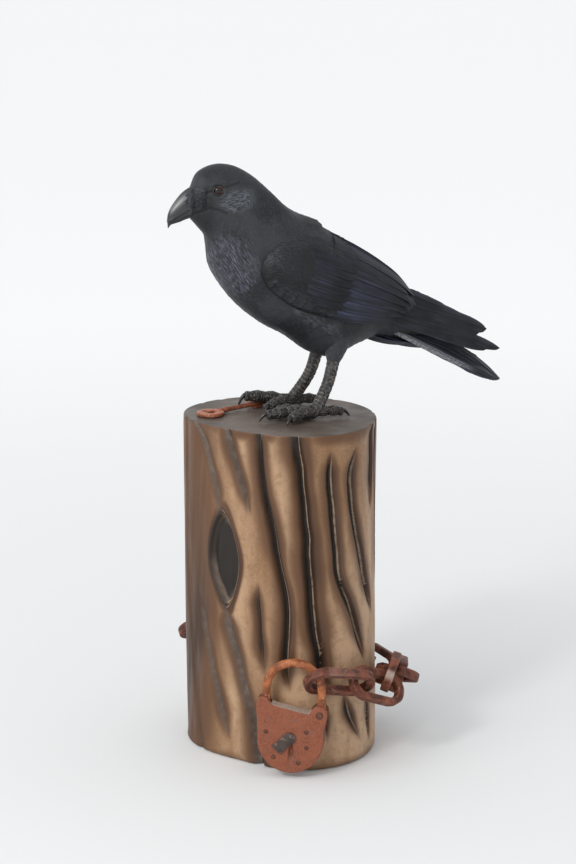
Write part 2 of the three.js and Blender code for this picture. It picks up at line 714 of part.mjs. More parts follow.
function linkSolid({ centre, along, across, halfLength, halfWidth, plain }) {
  const deep = along.clone().cross(across).normalize();
  const wide = deep.clone().cross(along).normalize();
  const bend = 4;
  const seam = 0.01;
  const straight = halfLength - halfWidth;
  const ringPoint = (turn, grow) => {
    const x = Math.sign(Math.cos(turn)) * straight + (halfWidth + grow) * Math.cos(turn);
    return [x, (halfWidth + grow) * Math.sin(turn)];
  };
  const turns = [];
  for (const half of [0, 1]) {
    for (let i = 0; i <= bend; i++) {
      turns.push(Math.PI * (half - 0.5 + clamp(i, seam, bend - seam) / bend));
    }
  }
  const a = LINK_BAR.across / 2;
  const d = LINK_BAR.deep / 2;
  const { cut } = LINK_BAR;
  const chamfered = [
    [-a, -d * cut], [-a * cut, -d], [a * cut, -d], [a, -d * cut],
    [a, d * cut], [a * cut, d], [-a * cut, d], [-a, d * cut],
  ];
  const corners = [[-a, -d], [a, -d], [a, d], [-a, d]];
  const square = corners.map((corner) => corner.map((x) => x * BACK_LINKS.slim));
  const section = plain ? square : chamfered;
  const rings = turns.map((turn) => section.map(([grow, lift]) => {
    const [x, y] = ringPoint(turn, grow);
    return centre.clone().addScaledVector(along, x).addScaledVector(wide, y).addScaledVector(deep, lift);
  }));
  return closedRing(rings);
}

function closedRing(rings) {
  const sides = rings[0].length;
  const count = rings.length;
  const faces = [];
  for (let r = 0; r < count; r++) {
    for (let s = 0; s < sides; s++) {
      const a = r * sides + s;
      const b = r * sides + (s + 1) % sides;
      const c = ((r + 1) % count) * sides + (s + 1) % sides;
      const d = ((r + 1) % count) * sides + s;
      faces.push(a, b, c, a, c, d);
    }
  }
  return solidFrom(rings.flat(), faces);
}

// The five links that show: where the middle of each is, and which way its length and width lie
const FRONT_LINKS = [
  {
    centre: [51.2, -80.8, 85],
    along: [0.912, 0.373, -0.172],
    across: [-0.369, 0.559, -0.743],
    halfLength: 29,
    halfWidth: 13.5,
  },
  {
    centre: [83.8, -61.8, 75.2],
    along: [0.812, 0.462, -0.358],
    across: [-0.02, 0.635, 0.772],
    halfLength: 25,
    halfWidth: 12,
  },
  {
    centre: [97.2, -38.3, 80.6],
    along: [0.143, 0.989, 0.032],
    across: [-0.32, 0.077, -0.944],
    halfLength: 20,
    halfWidth: 12,
  },
  {
    centre: [102.9, -27, 74.8],
    along: [-0.597, 0.768, -0.232],
    across: [0.755, 0.44, -0.487],
    halfLength: 20,
    halfWidth: 10.3,
  },
  {
    centre: [105.4, -7.8, 68.3],
    along: [0.042, 0.993, -0.107],
    across: [-0.364, -0.085, -0.928],
    halfLength: 23,
    halfWidth: 11.5,
  },
].map(({ centre, along, across, ...size }) => ({
  centre: v3(...centre),
  along: v3(...along),
  across: v3(...across),
  ...size,
}));

// Round the back the links lie beside the log, each rolled a quarter turn from the one before. Height
// and distance off the bark run evenly from one end of the arc to the other, and joint is how far
// inside the end of a link the next one starts.
const BACK_LINKS = {
  count: 7,
  halfLength: 24.5,
  halfWidth: 12,
  joint: 12.5,
  arc: [5, 140],
  heights: [60, 57, 64, 72, 79, 84],
  standOff: [21, 17.5, 15.5, 15, 15, 15],
  roll: 22,
  rollStep: 3.4,
  slim: 0.86,
};

function backLinks(before) {
  const { halfLength, halfWidth, arc, heights, standOff } = BACK_LINKS;
  const up = v3(0, 0, 1);
  const place = (angle) => {
    const t = (angle - arc[0]) / (arc[1] - arc[0]);
    return onLog(angle, smoothRun(heights, t), smoothRun(standOff, t));
  };
  const links = [];
  let last = before;
  for (let k = 0; k < BACK_LINKS.count; k++) {
    const joint = last.centre.clone().addScaledVector(last.along, last.halfLength - BACK_LINKS.joint);
    let low = THREE.MathUtils.radToDeg(Math.atan2(joint.y, joint.x));
    let high = low + 40;
    for (let i = 0; i < 24; i++) {
      const middle = (low + high) / 2;
      if (place(middle).distanceTo(joint) < halfLength) low = middle;
      else high = middle;
    }
    const centre = place(low);
    const along = centre.clone().sub(joint).normalize();
    const level = up.clone().cross(along).normalize();
    const roll = rad(BACK_LINKS.roll + BACK_LINKS.rollStep * k + (k % 2) * 90);
    const across = level.clone().multiplyScalar(Math.cos(roll))
      .addScaledVector(along.clone().cross(level), Math.sin(roll));
    last = { centre, along, across, halfLength, halfWidth, plain: true };
    links.push(last);
  }
  return links;
}

// The colours of the painted wood
function paint(color, roughness, metalness = 0) {
  return new THREE.MeshStandardMaterial({ color, roughness, metalness });
}
const paints = {
  feathers: paint(0x22252a, 0.55),
  glass: paint(0x120a08, 0.08),
  bark: paint(0x9a7850, 0.7),
  case: paint(0x9c5640, 0.65),
  shackle: paint(0xa8583a, 0.55),
  links: paint(0x7c4638, 0.65),
  cover: paint(0x4a403b, 0.6),
  key: paint(0xa45a40, 0.6),
};

const carving = new THREE.Group();
carving.add(
  named("raven", ravenSolid(), paints.feathers),
  named("eye_left", eyeSolid(-1), paints.glass),
  named("eye_right", eyeSolid(1), paints.glass),
  named("log", logSolid(), paints.bark),
  named("key", keySolid(), paints.key),
  named("padlock_case", lockCaseSolid(), paints.case),
  named("padlock_shackle", shackleSolid(), paints.shackle),
  named("keyhole_cover", keyholeCoverSolid(), paints.cover),
);

const chain = [...FRONT_LINKS, ...backLinks(FRONT_LINKS.at(-1))];
chain.forEach((link, k) => {
  const name = `chain_link_${String(k + 1).padStart(2, "0")}`;
  carving.add(named(name, linkSolid(link), paints.links));
});

export default carving;
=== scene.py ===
"""A painted wood carving: a raven on a grooved log, with its key, padlock and chain."""
import math

import bmesh
import bpy
import numpy as np
from mathutils import Matrix, Vector


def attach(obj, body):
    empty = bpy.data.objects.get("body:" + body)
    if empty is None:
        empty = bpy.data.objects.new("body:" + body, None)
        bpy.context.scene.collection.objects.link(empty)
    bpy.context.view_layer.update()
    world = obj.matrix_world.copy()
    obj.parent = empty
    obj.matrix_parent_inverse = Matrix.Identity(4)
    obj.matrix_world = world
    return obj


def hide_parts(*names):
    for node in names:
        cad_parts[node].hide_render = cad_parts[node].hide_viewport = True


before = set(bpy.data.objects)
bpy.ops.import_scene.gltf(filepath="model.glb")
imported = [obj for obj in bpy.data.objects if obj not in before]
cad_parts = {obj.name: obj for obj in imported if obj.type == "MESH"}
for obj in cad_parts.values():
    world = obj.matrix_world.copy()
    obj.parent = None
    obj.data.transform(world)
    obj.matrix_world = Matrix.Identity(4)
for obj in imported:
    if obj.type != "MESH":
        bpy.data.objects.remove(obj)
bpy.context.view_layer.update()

# Driving sizes, in millimetres and degrees
MM = 0.001
GAP = 0.3
LOG_HEIGHT = 300
BIRD_FOOT = (16, 16, LOG_HEIGHT)
BIRD_YAW = 20
EYE_RADIUS = 3.6
EYE_PLACE = (-79.8, 14.2, 200.8)
CASE_THICK = 13
SHACKLE_BAR = 7.4
LINK_BAR = {"across": 7.2, "deep": 8}
ROOT = "root"


# Numbers: smooth runs, noise and overlapping feathers


def lerp(a, b, t):
    return a + (b - a) * t


def ease(low, high, x):
    t = np.clip((x - low) / (high - low), 0, 1)
    return t * t * (3 - 2 * t)


def bell(x, power=2):
    """1 at 0, falling away smoothly on both sides."""
    return np.exp(-np.abs(x) ** power)


def round_end(x, long, least=0):
    """1 up to x = 0, then down a quarter of an oval that is long from there."""
    return np.sqrt(np.clip(1 - (np.maximum(x, 0) / long) ** 2, least, 1))


def span(count):
    """A column of even steps from 0 to 1."""
    return np.linspace(0, 1, count)[:, None]


def circle(count):
    return np.linspace(0, 2 * math.pi, count, endpoint=False)


def vec(*parts):
    """Numbers and arrays put side by side as vectors."""
    return np.stack(np.broadcast_arrays(*parts), -1)


def unit(v):
    v = np.asarray(v, float)
    return v / np.maximum(np.linalg.norm(v, axis=-1, keepdims=True), 1e-9)


def run(values, t):
    """The value at t, from 0 to 1, of a smooth run through evenly spaced values."""
    values = np.asarray(values, float)
    t = np.asarray(t, float)
    last = len(values) - 1
    place = np.clip(t, 0, 1) * last
    i = np.minimum(np.floor(place).astype(int), last - 1)
    f = (place - i).reshape(place.shape + (1,) * (values.ndim - 1))
    p0, p1, p2, p3 = (values[np.clip(i + k, 0, last)] for k in (-1, 0, 1, 2))
    return 0.5 * (2 * p1 + (p2 - p0) * f + (2 * p0 - 5 * p1 + 4 * p2 - p3) * f ** 2
                  + (3 * p1 - p0 - 3 * p2 + p3) * f ** 3)


def scatter(x, y, seed):
    h = np.sin(x * 127.1 + y * 311.7 + seed * 74.7) * 43758.5453
    return h - np.floor(h)


def noise(x, y, seed=0):
    """Soft noise from -1 to 1, with lumps about one unit across."""
    xi, yi = np.floor(x), np.floor(y)
    sx, sy = (f * f * (3 - 2 * f) for f in (x - xi, y - yi))
    low = lerp(scatter(xi, yi, seed), scatter(xi + 1, yi, seed), sx)
    high = lerp(scatter(xi, yi + 1, seed), scatter(xi + 1, yi + 1, seed), sx)
    return 2 * lerp(low, high, sy) - 1


def noise_round(turn, count, z, seed):
    """Noise that joins up all the way round."""
    return noise(count * np.cos(turn), z + count * np.sin(turn), seed)


def near_path(x, z, path):
    """Distance from each point to a line of straight stretches."""
    best = np.full(np.shape(x), 1e9)
    for (x0, z0), (x1, z1) in zip(path, path[1:]):
        dx, dz = x1 - x0, z1 - z0
        t = np.clip(((x - x0) * dx + (z - z0) * dz) / (dx * dx + dz * dz), 0, 1)
        best = np.minimum(best, np.hypot(x - x0 - t * dx, z - z0 - t * dz))
    return best


def leaned(x, z, lean):
    """Distances along and beside a direction that leans by an angle."""
    return x * np.cos(lean) + z * np.sin(lean), z * np.cos(lean) - x * np.sin(lean)


def ellipse(x, z, shape):
    """1 in the middle of a leaning oval, 0 outside it."""
    middle_x, middle_z = shape["middle"]
    along, up = leaned(x - middle_x, z - middle_z, math.radians(shape.get("lean", 0)))
    return ease(1.15, 0.55, np.hypot(along / shape["long"], up / shape["tall"]))


# A feather's length in rows, and its half width in columns
FEATHER_LONG = 2.3
FEATHER_HALF = 0.62


def feather_rows(u, w, seed=0):
    """Overlapping feathers, one a row along u and one a column across w.

    Gives the height within the feather on top, how near its edge, and a number of its own."""
    u, w = np.broadcast_arrays(u, w)
    height, edge, own = (np.zeros(u.shape) for _ in range(3))
    bare = np.ones(u.shape, bool)
    for back in (2, 1, 0):
        row = np.floor(u) - back
        stagger = 0.5 * np.mod(row, 2)
        column = np.round(w - stagger)
        shift = 0.3 * scatter(row, column, seed + 5) - 0.15
        along = (u - row + shift) / FEATHER_LONG
        wide = FEATHER_HALF * round_end(along - 0.5, 0.5)
        across = np.abs(w - stagger - column) / np.maximum(wide, 1e-3)
        inside = bare & (along > 0) & (along < 1) & (across < 1)
        height = np.where(inside, along * (1 - 0.35 * across ** 2), height)
        edge = np.where(inside, np.maximum(ease(0.62, 1, across), ease(0.8, 1, along)), edge)
        own = np.where(inside, scatter(row, column, seed), own)
        bare &= ~inside
    return height, edge, own


# Meshes


class Shells:
    """Gathers closed shells of rings, with two paint vectors for each point, into one mesh."""

    def __init__(self):
        self.points, self.faces, self.flow, self.tone = [], [], [], []
        self.count = 0

    def add_rings(self, rings, flow=None, tone=None, closed=False):
        """Rings of points, shape (rings, sides, 3), joined side to side, with a cap at each end."""
        count, sides = rings.shape[:2]
        first, caps = self.count, 0 if closed else 2
        around = [(s, (s + 1) % sides) for s in range(sides)]
        for r in range(count if closed else count - 1):
            a, b = first + r * sides, first + (r + 1) % count * sides
            self.faces += [(a + s, a + t, b + t, b + s) for s, t in around]
        for cap, start, way in ((0, 0, 1), (1, (count - 1) * sides, -1))[:caps]:
            middle, start = first + count * sides + cap, first + start
            self.faces += [(start + t, start + s, middle)[::way] for s, t in around]
        ends = [rings[:1].mean(1), rings[-1:].mean(1)][:caps]
        self.points += [rings.reshape(-1, 3), *ends]
        for kept, values in ((self.flow, flow), (self.tone, tone)):
            values = np.zeros((count * sides, 3)) if values is None else values.reshape(-1, 3)
            kept += [values, *[values[:1], values[-1:]][:caps]]
        self.count += count * sides + caps

    def add_sheet(self, top, under, flow, tone, under_tone=0):
        """A thin shell between two grids of points."""
        sides = ((top, under), (flow, flow), (tone, tone * under_tone))
        self.add_rings(*(np.concatenate([a, b[:, ::-1]], 1) for a, b in sides))

    def build(self, name, material, slot, place=None):
        points = np.vstack(self.points)
        if place is not None:
            points = place(points)
        mesh = bpy.data.meshes.new(name)
        mesh.from_pydata((points * MM).tolist(), [], self.faces)
        for key, values in (("flow", self.flow), ("tone", self.tone)):
            layer = mesh.attributes.new(key, "FLOAT_VECTOR", "POINT")
            layer.data.foreach_set("vector", np.vstack(values).astype(np.float32).ravel())
        mesh.polygons.foreach_set("use_smooth", [True] * len(mesh.polygons))
        mesh.materials.append(material)
        mesh.update()
        face_outward(mesh)
        thing = add_object(name, mesh)
        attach(thing, ROOT)
        return thing


def add_object(name, data):
    thing = bpy.data.objects.new(name, data)
    bpy.context.scene.collection.objects.link(thing)
    return thing


def face_outward(mesh):
    """Turn every face to the outside."""
    work = bmesh.new()
    work.from_mesh(mesh)
    bmesh.ops.recalc_face_normals(work, faces=work.faces)
    work.to_mesh(mesh)
    work.free()


def normals(grid, wrap):
    """Unit normals of a grid: away from the middle of its rings, or to the right side of a sheet."""
    across = np.roll(grid, -1, 1) - np.roll(grid, 1, 1) if wrap else np.gradient(grid, axis=1)
    out = unit(np.cross(np.gradient(grid, axis=0), across))
    away = grid - grid.mean(1, keepdims=True) if wrap else np.array([0, 1, 0])
    return out * np.sign((out * away).sum(-1).mean())


def lengths(grid, axis):
    """Running length of a grid of points along one of its two ways."""
    gaps = np.linalg.norm(np.diff(grid, axis=axis), axis=2)
    return np.cumsum(np.pad(gaps, [(1 - axis, 0), (axis, 0)]), axis=axis)


class Tube:
    """A tube of changing radius along a path, with the angle round it and the length along it."""

    def __init__(self, path, radii, sides, up=(0, 0, 1)):
        self.path = np.asarray(path, float)
        self.radii = np.asarray(radii, float)[:, None]
        ahead = unit(np.gradient(self.path, axis=0))
        side = unit(np.cross(ahead, up))
        top = np.cross(side, ahead)
        self.turn = circle(sides)[None]
        turn = self.turn[..., None]
        self.spokes = side[:, None] * np.cos(turn) + top[:, None] * np.sin(turn)
        steps = np.linalg.norm(np.diff(self.path, axis=0), axis=1)
        self.length = np.concatenate([[0], np.cumsum(steps)])[:, None]

    def rings(self, proud=0):
        return self.path[:, None] + self.spokes * (self.radii + proud)[..., None]


def placer(yaw, place):
    """A way to turn points about the upright by some degrees and then shift them."""
    c, s = math.cos(math.radians(yaw)), math.sin(math.radians(yaw))

    def move(points):
        x, y, z = points.T
        return vec(c * x - s * y, s * x + c * y, z) + np.array(place)

    return move


# Materials: each mesh point carries two vectors, tone for shares of paint and flow for their direction

# Near black painted shade, for creases and for edges tucked under others
CREASE_SHADE = (0.003, 0.003, 0.004)
# The feathers' blacks: deep, plain and worked
FEATHER_BLACKS = ((0.004, 0.0048, 0.0058), (0.0175, 0.0193, 0.0215), (0.034, 0.0375, 0.042))


class Wire:
    """What comes out of a node of a material, with short ways to work on it."""

    def __init__(self, paint, socket):
        self.paint, self.socket = paint, socket

    def math(self, kind, other=0.0):
        made = self.paint.node("Math", (self, other))
        made.operation = kind
        return Wire(self.paint, made.outputs[0])

    def __mul__(self, other):
        return self.math("MULTIPLY", other)

    def __add__(self, other):
        return self.math("ADD", other)

    def __sub__(self, other):
        return self.math("SUBTRACT", other)

    def split(self):
        made = self.paint.node("SeparateXYZ", (self,))
        return [Wire(self.paint, socket) for socket in made.outputs]

    def stretched(self, *factors):
        made = self.paint.node("VectorMath", (self, factors))
        made.operation = "MULTIPLY"
        return Wire(self.paint, made.outputs["Vector"])

    def length(self):
        made = self.paint.node("VectorMath", (self,))
        made.operation = "LENGTH"
        return Wire(self.paint, made.outputs["Value"])

    def noise(self, scale=1.0, detail=3.0, rough=0.5, warp=0.0, stretch=None):
        places = self.stretched(*stretch) if stretch else self
        made = self.paint.node("TexNoise", Vector=places, Scale=scale, Detail=detail, Roughness=rough,
                               Distortion=warp)
        return Wire(self.paint, made.outputs["Fac"])

    def cell_edges(self, scale):
        """Distance to the nearest edge between many-sided cells."""
        made = self.paint.node("TexVoronoi", Vector=self, Scale=scale)
        made.feature = "DISTANCE_TO_EDGE"
        return Wire(self.paint, made.outputs["Distance"])

    def curve(self, low, high, start=0.0, end=1.0):
        """From start to end in a soft step, while this goes from low to high."""
        made = self.paint.node("MapRange", Value=self, From_Min=low, From_Max=high, To_Min=start, To_Max=end)
        made.interpolation_type = "SMOOTHSTEP"
        return Wire(self.paint, made.outputs["Result"])

    def mix(self, a, b):
        """Colour a where this is 0, and b where it is 1."""
        made = self.paint.node("Mix")
        made.data_type = "RGBA"
        for index, value in ((0, self), (6, a), (7, b)):
            self.paint.feed(made.inputs[index], (*value, 1) if isinstance(value, tuple) else value)
        return Wire(self.paint, made.outputs[2])


class Paint:
    """A material, with its fixed values on the shader itself."""

    def __init__(self, name, color, roughness, **values):
        self.material = bpy.data.materials.new(name)
        self.material.use_nodes = True
        self.tree = self.material.node_tree
        self.shader = self.tree.nodes["Principled BSDF"]
        for key, value in {"Base_Color": (*color, 1), "Roughness": roughness, **values}.items():
            self.feed(self.shader.inputs[key.replace("_", " ")], value)

    def feed(self, socket, value):
        if isinstance(value, Wire):
            self.tree.links.new(value.socket, socket)
        else:
            socket.default_value = value

    def node(self, kind, values=(), **named):
        made = self.tree.nodes.new("ShaderNode" + kind)
        for socket, value in zip(made.inputs, values):
            self.feed(socket, value)
        for key, value in named.items():
            self.feed(made.inputs[key.replace("_", " ")], value)
        return made

    def places(self):
        """Places on the object in millimetres."""
        whole = Wire(self, self.node("TexCoord").outputs["Object"])
        return whole.stretched(1 / MM, 1 / MM, 1 / MM)

    def attribute(self, name):
        made = self.node("Attribute")
        made.attribute_name = name
        return Wire(self, made.outputs["Vector"])

    def shares(self):
        return self.attribute("tone").split()

    def finish(self, color, rough=None, *bumps):
        """Put on the colour, the roughness and the bumps, each a height and its depth in millimetres."""
        self.feed(self.shader.inputs["Base Color"], color)
        if rough:
            self.feed(self.shader.inputs["Roughness"], rough)
        target = self.shader.inputs["Normal"]
        for height, depth in bumps[::-1]:
            made = self.node("Bump", Height=height, Strength=1.0, Distance=depth * MM)
            self.feed(target, Wire(self, made.outputs["Normal"]))
            target = made.inputs["Normal"]
        return self.material


def layers(color, *coats):
    """A colour with coats laid over it, each a share from 0 to 1 and a colour."""
    for share, coat in coats:
        color = share.mix(color, coat)
    return color


def shaded(color, light):
    return tuple(c * light for c in color)


def feather_paint(name, light):
    """Near black with soft strokes; light scales its blacks, a painted brightness that gives lit and shaded
    copies.

    Tone is (violet painted sheen on edges, painted shade in creases, grey patch that on the wing's front is a
    painted highlight).
    """
    paint = Paint(name, (0.012, 0.013, 0.015), 0.55, Specular_IOR_Level=0.27, Sheen_Weight=0.02,
                  Sheen_Roughness=0.4, Sheen_Tint=(0.6, 0.66, 0.8, 1))
    flow, places = paint.attribute("flow"), paint.places()
    violet_sheen, crease_shade, grey = paint.shares()
    strokes = flow.noise(stretch=(0.13, 1.1, 1), rough=0.6, warp=0.4)
    fine = flow.noise(stretch=(0.35, 3.6, 1), detail=2)
    # light multiplies the blacks: a painted brightness, so each part gets a lit or shaded copy of one paint
    deep, plain, worked = (shaded(black, light) for black in FEATHER_BLACKS)
    color = layers(
        places.noise(scale=0.035).curve(0.36, 0.62).mix(deep, plain),
        (fine.curve(0.48, 0.64) * 0.6, worked),
        (violet_sheen * strokes.curve(0.44, 0.58), (0.145, 0.147, 0.2)),
        (grey * strokes.curve(0.46, 0.56), (0.125, 0.14, 0.165)),
        (crease_shade, CREASE_SHADE),
    )
    return paint.finish(color, fine.curve(0.2, 0.8, 0.42, 0.6), (strokes + fine, 0.18),
                        (places.noise(scale=1.6, detail=2), 0.03))


def blade_paint():
    """Flight feathers: flow is (along, across, its own number), with barbs slanting off the shaft."""
    paint = Paint("raven_flight_feathers", (0.012, 0.013, 0.016), 0.5, Specular_IOR_Level=0.24,
                  Sheen_Weight=0.03, Sheen_Roughness=0.4, Sheen_Tint=(0.55, 0.62, 0.9, 1))
    flow = paint.attribute("flow")
    along, across, _own = flow.split()
    # blue_sheen is a painted sheen, bluish light on each feather's edges and upper side
    blue_sheen, crease_shade, pale = paint.shares()
    side = across.math("ABSOLUTE")
    slant = along + side * -1.7 + flow.noise(scale=0.25, detail=2)
    barb = (slant * 5.2).math("SINE")
    shaft = side.curve(0.2, 0.6, 1, 0)
    streak = flow.noise(stretch=(0.05, 0.5, 9))
    grain = flow.noise(stretch=(0.5, 0.9, 9))
    cloud = paint.places().noise(scale=0.05, detail=2)
    color = layers(
        cloud.curve(0.35, 0.7).mix((0.0045, 0.005, 0.0065), (0.011, 0.0123, 0.0165)),
        (streak.curve(0.5, 0.72) * 0.5, (0.032, 0.036, 0.045)),
        (blue_sheen * streak.curve(0.38, 0.62, 0.45, 1), (0.042, 0.048, 0.084)),
        (pale * (barb.curve(-0.6, 0.9, 0.55, 1) * grain.curve(0.36, 0.6, 0.35, 1)), (0.25, 0.262, 0.28)),
        # painted shade along the edge tucked under the feather above
        (crease_shade, CREASE_SHADE),
        (shaft * 0.5, (0.007, 0.007, 0.009)),
    )
    return paint.finish(color, streak.curve(0.2, 0.8, 0.42, 0.58), (barb * 0.25 + shaft * 0.8 + streak, 0.14))


def bill_paint():
    paint = Paint("raven_bill", (0.03, 0.031, 0.034), 0.3, Coat_Weight=0.25, Coat_Roughness=0.25)
    # Tone is (unused, painted shade along the cutting edge, painted highlight on the upper bill)
    _none, crease_shade, painted_highlight = paint.shares()
    streak = paint.attribute("flow").noise(stretch=(0.05, 0.8, 1))
    color = layers(
        streak.curve(0.35, 0.7).mix((0.01, 0.011, 0.0125), (0.028, 0.0295, 0.032)),
        (crease_shade, CREASE_SHADE),
        (painted_highlight, (0.17, 0.175, 0.185)),
    )
    return paint.finish(color, streak.curve(0.3, 0.8, 0.3, 0.46), (streak, 0.08))


def foot_paint():
    """Scaled skin: dark plates with paler brown rims; tone is (rim, painted shade in the creases between
    plates, small many-sided scales).
    """
    paint = Paint("raven_feet", (0.018, 0.018, 0.018), 0.42, Specular_IOR_Level=0.4)
    places = paint.places()
    rim, crease_shade, scaled = paint.shares()
    wear = places.noise(scale=0.45, detail=4, rough=0.65)
    from_edge = places.cell_edges(0.27)
    pale = rim.math("MAXIMUM", from_edge.curve(0.06, 0.2, 1, 0) * scaled)
    color = layers(
        wear.curve(0.3, 0.7).mix((0.007, 0.007, 0.008), (0.02, 0.02, 0.02)),
        (pale * wear.curve(0.38, 0.54), (0.2, 0.178, 0.162)),
        (from_edge.curve(0.015, 0.075, 1, 0) * scaled, (0.006, 0.006, 0.006)),
        # painted shade in the creases between plates
        (crease_shade, (0.004, 0.004, 0.004)),
    )
    return paint.finish(color, wear.curve(0.3, 0.7, 0.34, 0.52), (from_edge.curve(0.0, 0.16) * scaled, 0.7),
                        (places.noise(scale=1.8), 0.06))


def claw_paint():
    paint = Paint("raven_claws", (0.008, 0.008, 0.009), 0.2)
    streak = paint.attribute("flow").noise(stretch=(0.1, 1.4, 1), detail=2)
    color = streak.mix((0.006, 0.006, 0.007), (0.02, 0.019, 0.019))
    return paint.finish(color, streak.curve(0.3, 0.7, 0.16, 0.3), (streak, 0.04))


def eye_paint():
    """Glass eye: black pupil, red-brown iris and dark rim; flow starts with the distance from the pupil."""
    paint = Paint("glass_eye", (0.01, 0.006, 0.005), 0.06)
    off = paint.attribute("flow").split()[0]
    iris = paint.places().noise(scale=1.7).mix((0.007, 0.0035, 0.0025), (0.03, 0.012, 0.008))
    pupil = off.curve(0.48, 0.62).mix((0.002, 0.0015, 0.0015), iris)
    return paint.finish(off.curve(0.84, 0.94).mix(pupil, (0.004, 0.003, 0.003)))


def lid_paint():
    paint = Paint("eye_rim", (0.14, 0.09, 0.078), 0.4)
    wear = paint.places().noise(scale=0.9)
    color = wear.curve(0.4, 0.62).mix((0.02, 0.016, 0.016), (0.15, 0.085, 0.075))
    return paint.finish(color, None, (wear, 0.08))


def bark_paint():
    """Airbrushed wood: tan, brown beside grooves and near black in them.

    Tone is (brown shade, deep black, grey wall); flow is (sawn top, distance to the right of the nearest
    groove, strength of its line)."""
    paint = Paint("log_paint", (0.36, 0.25, 0.16), 0.5, Specular_IOR_Level=0.35)
    places = paint.places()
    brown, black, grey = paint.shares()
    sawn, off, drawn = paint.attribute("flow").split()
    upright = places.stretched(1, 1, 0.3)
    cloud = upright.noise(scale=0.02)
    patchy = upright.noise(scale=0.06)
    grain = places.noise(stretch=(0.9, 0.9, 0.06), detail=4, rough=0.6)
    speck = places.noise(scale=0.8)
    mottle = places.noise(scale=0.16, detail=4, rough=0.65)
    dust = places.noise(scale=0.2, rough=0.55)
    brown = brown * patchy.curve(0.25, 0.6, 0.88, 1)
    wall = dust.curve(0.4, 0.68).mix((0.128, 0.101, 0.083), (0.168, 0.136, 0.114))
    off = off + (patchy - 0.5) * 1.6
    dark_line = off.curve(-1.2, -0.5) * off.curve(0.1, 0.5, 1, 0) * drawn
    pale_line = off.curve(0.35, 0.7) * off.curve(0.85, 1.3, 1, 0) * drawn * dust.curve(0.3, 0.55, 0.35, 0.85)
    top = cloud.curve(0.35, 0.65).mix((0.085, 0.065, 0.053), (0.138, 0.106, 0.086))
    color = layers(
        cloud.curve(0.36, 0.62).mix((0.25, 0.134, 0.064), (0.46, 0.295, 0.175)),
        (patchy.curve(0.5, 0.72) * 0.45, (0.2, 0.1, 0.045)),
        (grain.curve(0.5, 0.7) * 0.1, (0.14, 0.075, 0.04)),
        (mottle.curve(0.48, 0.68) * 0.4, (0.2, 0.098, 0.042)),
        (speck.curve(0.57, 0.68) * 0.34, (0.5, 0.38, 0.27)),
        (brown.curve(0.04, 0.55), (0.115, 0.053, 0.023)),
        (brown.curve(0.5, 0.95), (0.042, 0.02, 0.011)),
        (black.curve(0.16, 0.95), (0.012, 0.0085, 0.0065)),
        (grey * dust.curve(0.3, 0.7, 0.74, 0.94), wall),
        (dark_line, (0.008, 0.006, 0.005)),
        (pale_line, (0.36, 0.26, 0.185)),
        (sawn, (speck.curve(0.5, 0.75) * 0.3).mix(top, (0.2, 0.17, 0.15))),
    )
    return paint.finish(color, patchy.curve(0.3, 0.7, 0.4, 0.56), (grain, 0.08), (speck, 0.08))


def rust_paint(name, dark, light, worn, wear_from=0.62, roughness=0.55):
    """Wood painted like rusty iron, with small worn patches.

    Tone is (painted highlight on edges, dark ring, bare strip).
    """
    paint = Paint(name, light, roughness, Specular_IOR_Level=0.3)
    places = paint.places()
    edge, ring, bare = paint.shares()
    cloud = places.noise(scale=0.11, detail=4, rough=0.6)
    fine = places.noise(scale=0.75, detail=4, rough=0.7)
    patch = places.noise(scale=0.2, detail=2)
    color = layers(
        cloud.curve(0.34, 0.66).mix(dark, light),
        (fine.curve(0.5, 0.75) * 0.45, shaded(dark, 0.55)),
        # lighter edges: a painted highlight
        (edge * fine.curve(0.35, 0.6, 0.3, 1), shaded(light, 1.55)),
        (patch.curve(wear_from, wear_from + 0.05) * 0.8, worn),
        (bare, (0.48, 0.4, 0.34)),
        (ring, (0.03, 0.02, 0.017)),
    )
    return paint.finish(color, fine.curve(0.3, 0.7, roughness - 0.1, roughness + 0.12), (cloud, 0.36),
                        (fine, 0.12))


# The raven, in its own frame: x towards the tail, y to its right side, z up, feet at 0
place_bird = placer(BIRD_YAW, BIRD_FOOT)

# Slices that fan round the throat: back line x and z, belly line x and z, half width
BODY = [
    (-98.6, 203.8, -101.4, 177.4, 8.5),   # bill base
    (-92.6, 215.6, -93.6, 168.8, 13.2),   # forehead
    (-77, 221.6, -87, 160.5, 16.6),       # crown
    (-60, 219.2, -85.2, 150, 18.6),       # hind crown
    (-43.5, 209.8, -83.4, 135.5, 21.5),   # nape
    (-29.5, 197, -75.4, 121.5, 26.5),     # neck
    (-13.5, 182.5, -60.8, 103, 32),       # shoulders
    (8, 171.2, -39.6, 85, 35.8),          # mantle
    (30, 157.6, -14.6, 70.6, 37),         # back
    (55, 142.6, 5, 56.6, 36),             # flank
    (75, 130, 24, 50.5, 31.5),            # thighs
    (90, 118, 46, 58.5, 25.5),            # rump
    (103, 103, 64, 64.6, 20),             # tail coverts
    (116, 93, 90, 60, 14),                # tail root
    (124, 84, 112, 57, 9),                # tail bed
]
SLICE_POWER = 2.3


def slice_width(half, share):
    return half * (1 - np.abs(np.clip(2 * share - 1, -1, 1)) ** SLICE_POWER) ** (1 / SLICE_POWER)


